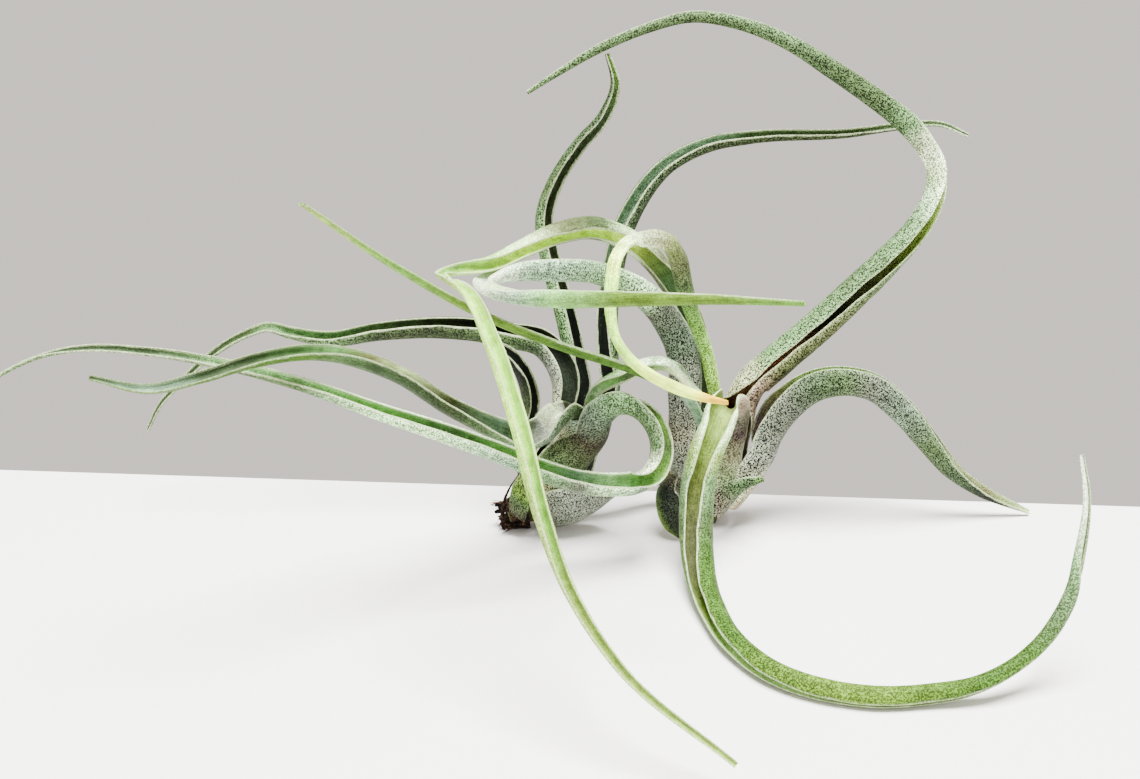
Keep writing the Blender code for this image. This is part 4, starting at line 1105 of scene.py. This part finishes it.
def piece_of(mesh, material):
    """A piece of the plant that shows the mesh in the material, attached to the root body."""
    piece = link_new(mesh.name, mesh)
    mesh.materials.append(material)
    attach(piece, "root")
    return piece


def make_leaves():
    """Each leaf as a blade that replaces its solid, and its scale hairs."""
    leaf, fuzz = leaf_material(), fuzz_material()
    for name, rows in LEAVES.items():
        blade = blade_of(name, rows)
        piece = piece_of(leaf_mesh(name + "_blade", blade), leaf)
        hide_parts(name)
        piece_of(fuzz_mesh(name, blade), fuzz)


HUSK = [
    Ring(-51, -3.8, 3.9, 3.1),
    Ring(-48, -3, 4.3, 3.1),
    Ring(-43.8, -1.9, 5.3, 4.6),
]
HUSK_WALL = 0.5
HUSK_SIDES = 96
HUSK_RINGS = 16
HUSK_SEED = 11


# Ranges that a strip of the husk is drawn from.
STRIP_SIDES = (2, 6)  # how many sides of the husk it is wide
TORN_AT = (0, 0.55)  # how far along the husk it is torn off, as a share
RAGGED = (-0.05, 0.06)  # and how far each side of it is torn off before or after that
CURL = (-0.9, 0.7)  # how far the torn end curls in or out
LAYER = (-0.35, 0.35)  # how far in or out the strip lies

THREADS = 46
THREAD_RADIUS = 0.2
THREAD_TIP = 0.3  # radius at its end, as a share
THREAD_SIDES = 6
THREAD_POINTS = 9
THREAD_LEAST = 0.05  # height of the lowest points of a thread that lies on the ground

# Ranges that a thread is drawn from.
THREAD_WIDTH = (0.6, 1.3)  # as a share of THREAD_RADIUS
THREAD_ROOT = (0.3, 1)  # how far along the husk it starts, as a share
THREAD_END = (-0.1, 0.3)  # and ends
THREAD_TURN = (-1.2, 1.2)  # how far it winds round the husk, in radians
THREAD_LIFT = (0.2, 1.6)  # how far out it starts, in walls of the husk
THREAD_FLARE = (-0.6, 1.3)  # how far in or out its end lies

# The husk's longest shred is a bunch of threads that runs up beside the green scale.
SHRED = (
    (-49.6, -4.4, 3.6),
    (-49.2, -5.8, 7.6),
    (-48.3, -6.6, 11.4),
    (-46.6, -6.9, 15.0),
    (-44.6, -6.7, 18.0),
)
SHRED_SPREAD = 0.5  # how far its threads start from one another
SHRED_THREADS = 7
SHRED_REACH = (0.7, 1)  # how far along the shred a thread of it reaches


def torn_strips(rng, rows, length, side, across):
    """Strips of many widths and lengths along the husk, each in its own layer: the points of each side."""
    spacing = steps_of(rows[:, :3])
    free = np.linspace(1, 0, HUSK_RINGS) ** 2
    strips = []
    left = 0
    for k in range(HUSK_SIDES):
        if left == 0:
            left = rng.randint(*STRIP_SIDES)
            start = rng.uniform(*TORN_AT) * length
            curl = rng.uniform(*CURL)
            layer = rng.uniform(*LAYER)
        left -= 1
        ragged = start + rng.uniform(*RAGGED) * length
        angle = k * 2 * math.pi / HUSK_SIDES
        outward = math.cos(angle) * side + math.sin(angle) * across
        path = smooth(rows, spacing, np.linspace(max(ragged, 0), length, HUSK_RINGS))
        inner = path[:, :3] + (path[:, 3:] + (curl * free + layer)[:, None]) * outward
        outer = inner + HUSK_WALL * outward
        strips.append(np.concatenate([inner, outer[::-1]]))
    return np.array(strips)


def thread(path, radius):
    """The points of a thread that tapers along a path."""
    way = unit(np.gradient(path, axis=0))
    side = unit(np.cross(way, UP + 0.1 * FRONT))  # no thread runs just along that line
    lift = np.cross(side, way)
    turn = np.arange(THREAD_SIDES)[None, :, None] * 2 * math.pi / THREAD_SIDES
    taper = radius * np.linspace(1, THREAD_TIP, len(path))[:, None, None]
    points = path[:, None] + taper * (np.cos(turn) * side[:, None] + np.sin(turn) * lift[:, None])
    points[..., 2] = np.maximum(points[..., 2], THREAD_LEAST)
    return points.reshape(-1, 3)


def thread_paths(rng, rows, length, side, across):
    """Loose threads that leave the husk's torn mouth, and those of the long shred beside the green scale."""
    spacing = steps_of(rows[:, :3])
    way = np.linspace(0, 1, THREAD_POINTS)[:, None]
    paths = []
    for _ in range(THREADS):
        at = np.linspace(rng.uniform(*THREAD_ROOT), rng.uniform(*THREAD_END), THREAD_POINTS) * length
        base = smooth(rows, spacing, at)
        angle = rng.uniform(0, 2 * math.pi) + rng.uniform(*THREAD_TURN) * way
        outward = np.cos(angle) * side + np.sin(angle) * across
        lift = HUSK_WALL * rng.uniform(*THREAD_LIFT) + rng.uniform(*THREAD_FLARE) * way**2
        paths.append(base[:, :3] + (base[:, 3:] + lift) * outward)
    shred = np.array(SHRED)
    spacing = steps_of(shred)
    for _ in range(SHRED_THREADS):
        shift = np.array([rng.uniform(-SHRED_SPREAD, SHRED_SPREAD) for _ in range(3)])
        at = np.linspace(0, rng.uniform(*SHRED_REACH), THREAD_POINTS) * spacing.sum()
        paths.append(smooth(shred, spacing, at) + shift * (1 - way))
    return paths


def husk_mesh(name):
    """The dry, torn sheath round the old end of the stem, in shreds and loose threads."""
    rng = random.Random(HUSK_SEED)
    rows = np.array(HUSK, float)
    length = steps_of(rows[:, :3]).sum()
    axis = unit(rows[-1, :3] - rows[0, :3])
    side = unit(np.cross(axis, UP))
    across = np.cross(side, axis)
    strips = torn_strips(rng, rows, length, side, across)
    points = [strips.reshape(-1, 3)]
    around = strips.shape[1]
    faces = []
    for k in range(HUSK_SIDES):
        strip, after = k * around, (k + 1) % HUSK_SIDES * around
        for i in range(around):
            j = (i + 1) % around
            faces.append((strip + i, strip + j, after + j, after + i))
    count = len(points[0])
    for path in thread_paths(rng, rows, length, side, across):
        points.append(thread(path, THREAD_RADIUS * rng.uniform(*THREAD_WIDTH)))
        faces += [[count + corner for corner in face] for face in grid_faces(THREAD_POINTS, THREAD_SIDES)]
        count += len(points[-1])
    mesh = bpy.data.meshes.new(name)
    mesh.from_pydata([tuple(point) for point in placed(np.concatenate(points))], [], faces)
    mesh.validate()
    return mesh


def make_husk():
    husk = piece_of(husk_mesh("torn_husk"), husk_material())
    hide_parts("dry_husk")


def dress_stem():
    """The stem's CAD solid is shown as it is, in a woody material."""
    for slot in bpy.data.objects["stem"].material_slots:
        slot.material = stem_material()


# ---------- Stage, lights and camera ----------

FLOOR_HALF = 700.0
FLOOR_FRONT = -900.0
FLOOR_DROP = 40.0
# The floor ends just behind the plant, on a line that is a little out of square with the camera.
FLOOR_BACK, FLOOR_SLOPE = 19.7, -0.0766


def make_floor():
    """A pale board and its back edge."""
    back_left, back_right = (FLOOR_BACK + FLOOR_SLOPE * x for x in (-FLOOR_HALF, FLOOR_HALF))
    corners = np.array(
        [
            (-FLOOR_HALF, FLOOR_FRONT, 0),
            (FLOOR_HALF, FLOOR_FRONT, 0),
            (FLOOR_HALF, back_right, 0),
            (-FLOOR_HALF, back_left, 0),
            (FLOOR_HALF, back_right, -FLOOR_DROP),
            (-FLOOR_HALF, back_left, -FLOOR_DROP),
        ]
    )
    mesh = bpy.data.meshes.new("floor")
    mesh.from_pydata([tuple(corner) for corner in placed(corners)], [], [(0, 1, 2, 3), (3, 2, 4, 5)])
    mesh.materials.append(floor_material())
    link_new("floor", mesh)


PLANT = (-0.03, -0.03, 0.04)  # what the lights point at, in metres


def make_light(name, place, size, power):
    """A round soft light at a place in metres, which points at the plant."""
    light = bpy.data.lights.new(name, "AREA")
    light.shape = "DISK"
    light.size = size
    light.energy = power
    lamp = link_new(name, light)
    lamp.location = place
    lamp.rotation_euler = (Vector(PLANT) - Vector(place)).to_track_quat("-Z", "Y").to_euler()


def make_world():
    """Pale, slightly warm light from all sides."""
    world = bpy.data.worlds.new("studio")
    bpy.context.scene.world = world
    world.use_nodes = True
    background = world.node_tree.nodes["Background"]
    background.inputs["Color"].default_value = (1.0, 0.93, 0.87, 1)
    background.inputs["Strength"].default_value = 0.98


CAMERA = np.array((-32.1, -269.8, 135.9))
PITCH = math.radians(20)
LENS = 36  # as long as the picture is wide


def make_camera():
    """The camera looks a little down on the plant, from its front."""
    camera = link_new("camera", bpy.data.cameras.new("camera"))
    camera.data.sensor_width = LENS
    camera.data.lens = LENS
    camera.data.clip_start = 0.01
    camera.location = placed(CAMERA)
    camera.rotation_euler = (math.pi / 2 - PITCH, 0, 0)
    bpy.context.scene.camera = camera


make_camera()
make_leaves()
make_husk()
dress_stem()
make_floor()
make_world()
make_light("key", (0.02, -0.12, 0.88), size=0.5, power=56)
make_light("fill", (-0.7, -0.7, 0.4), size=0.6, power=4)
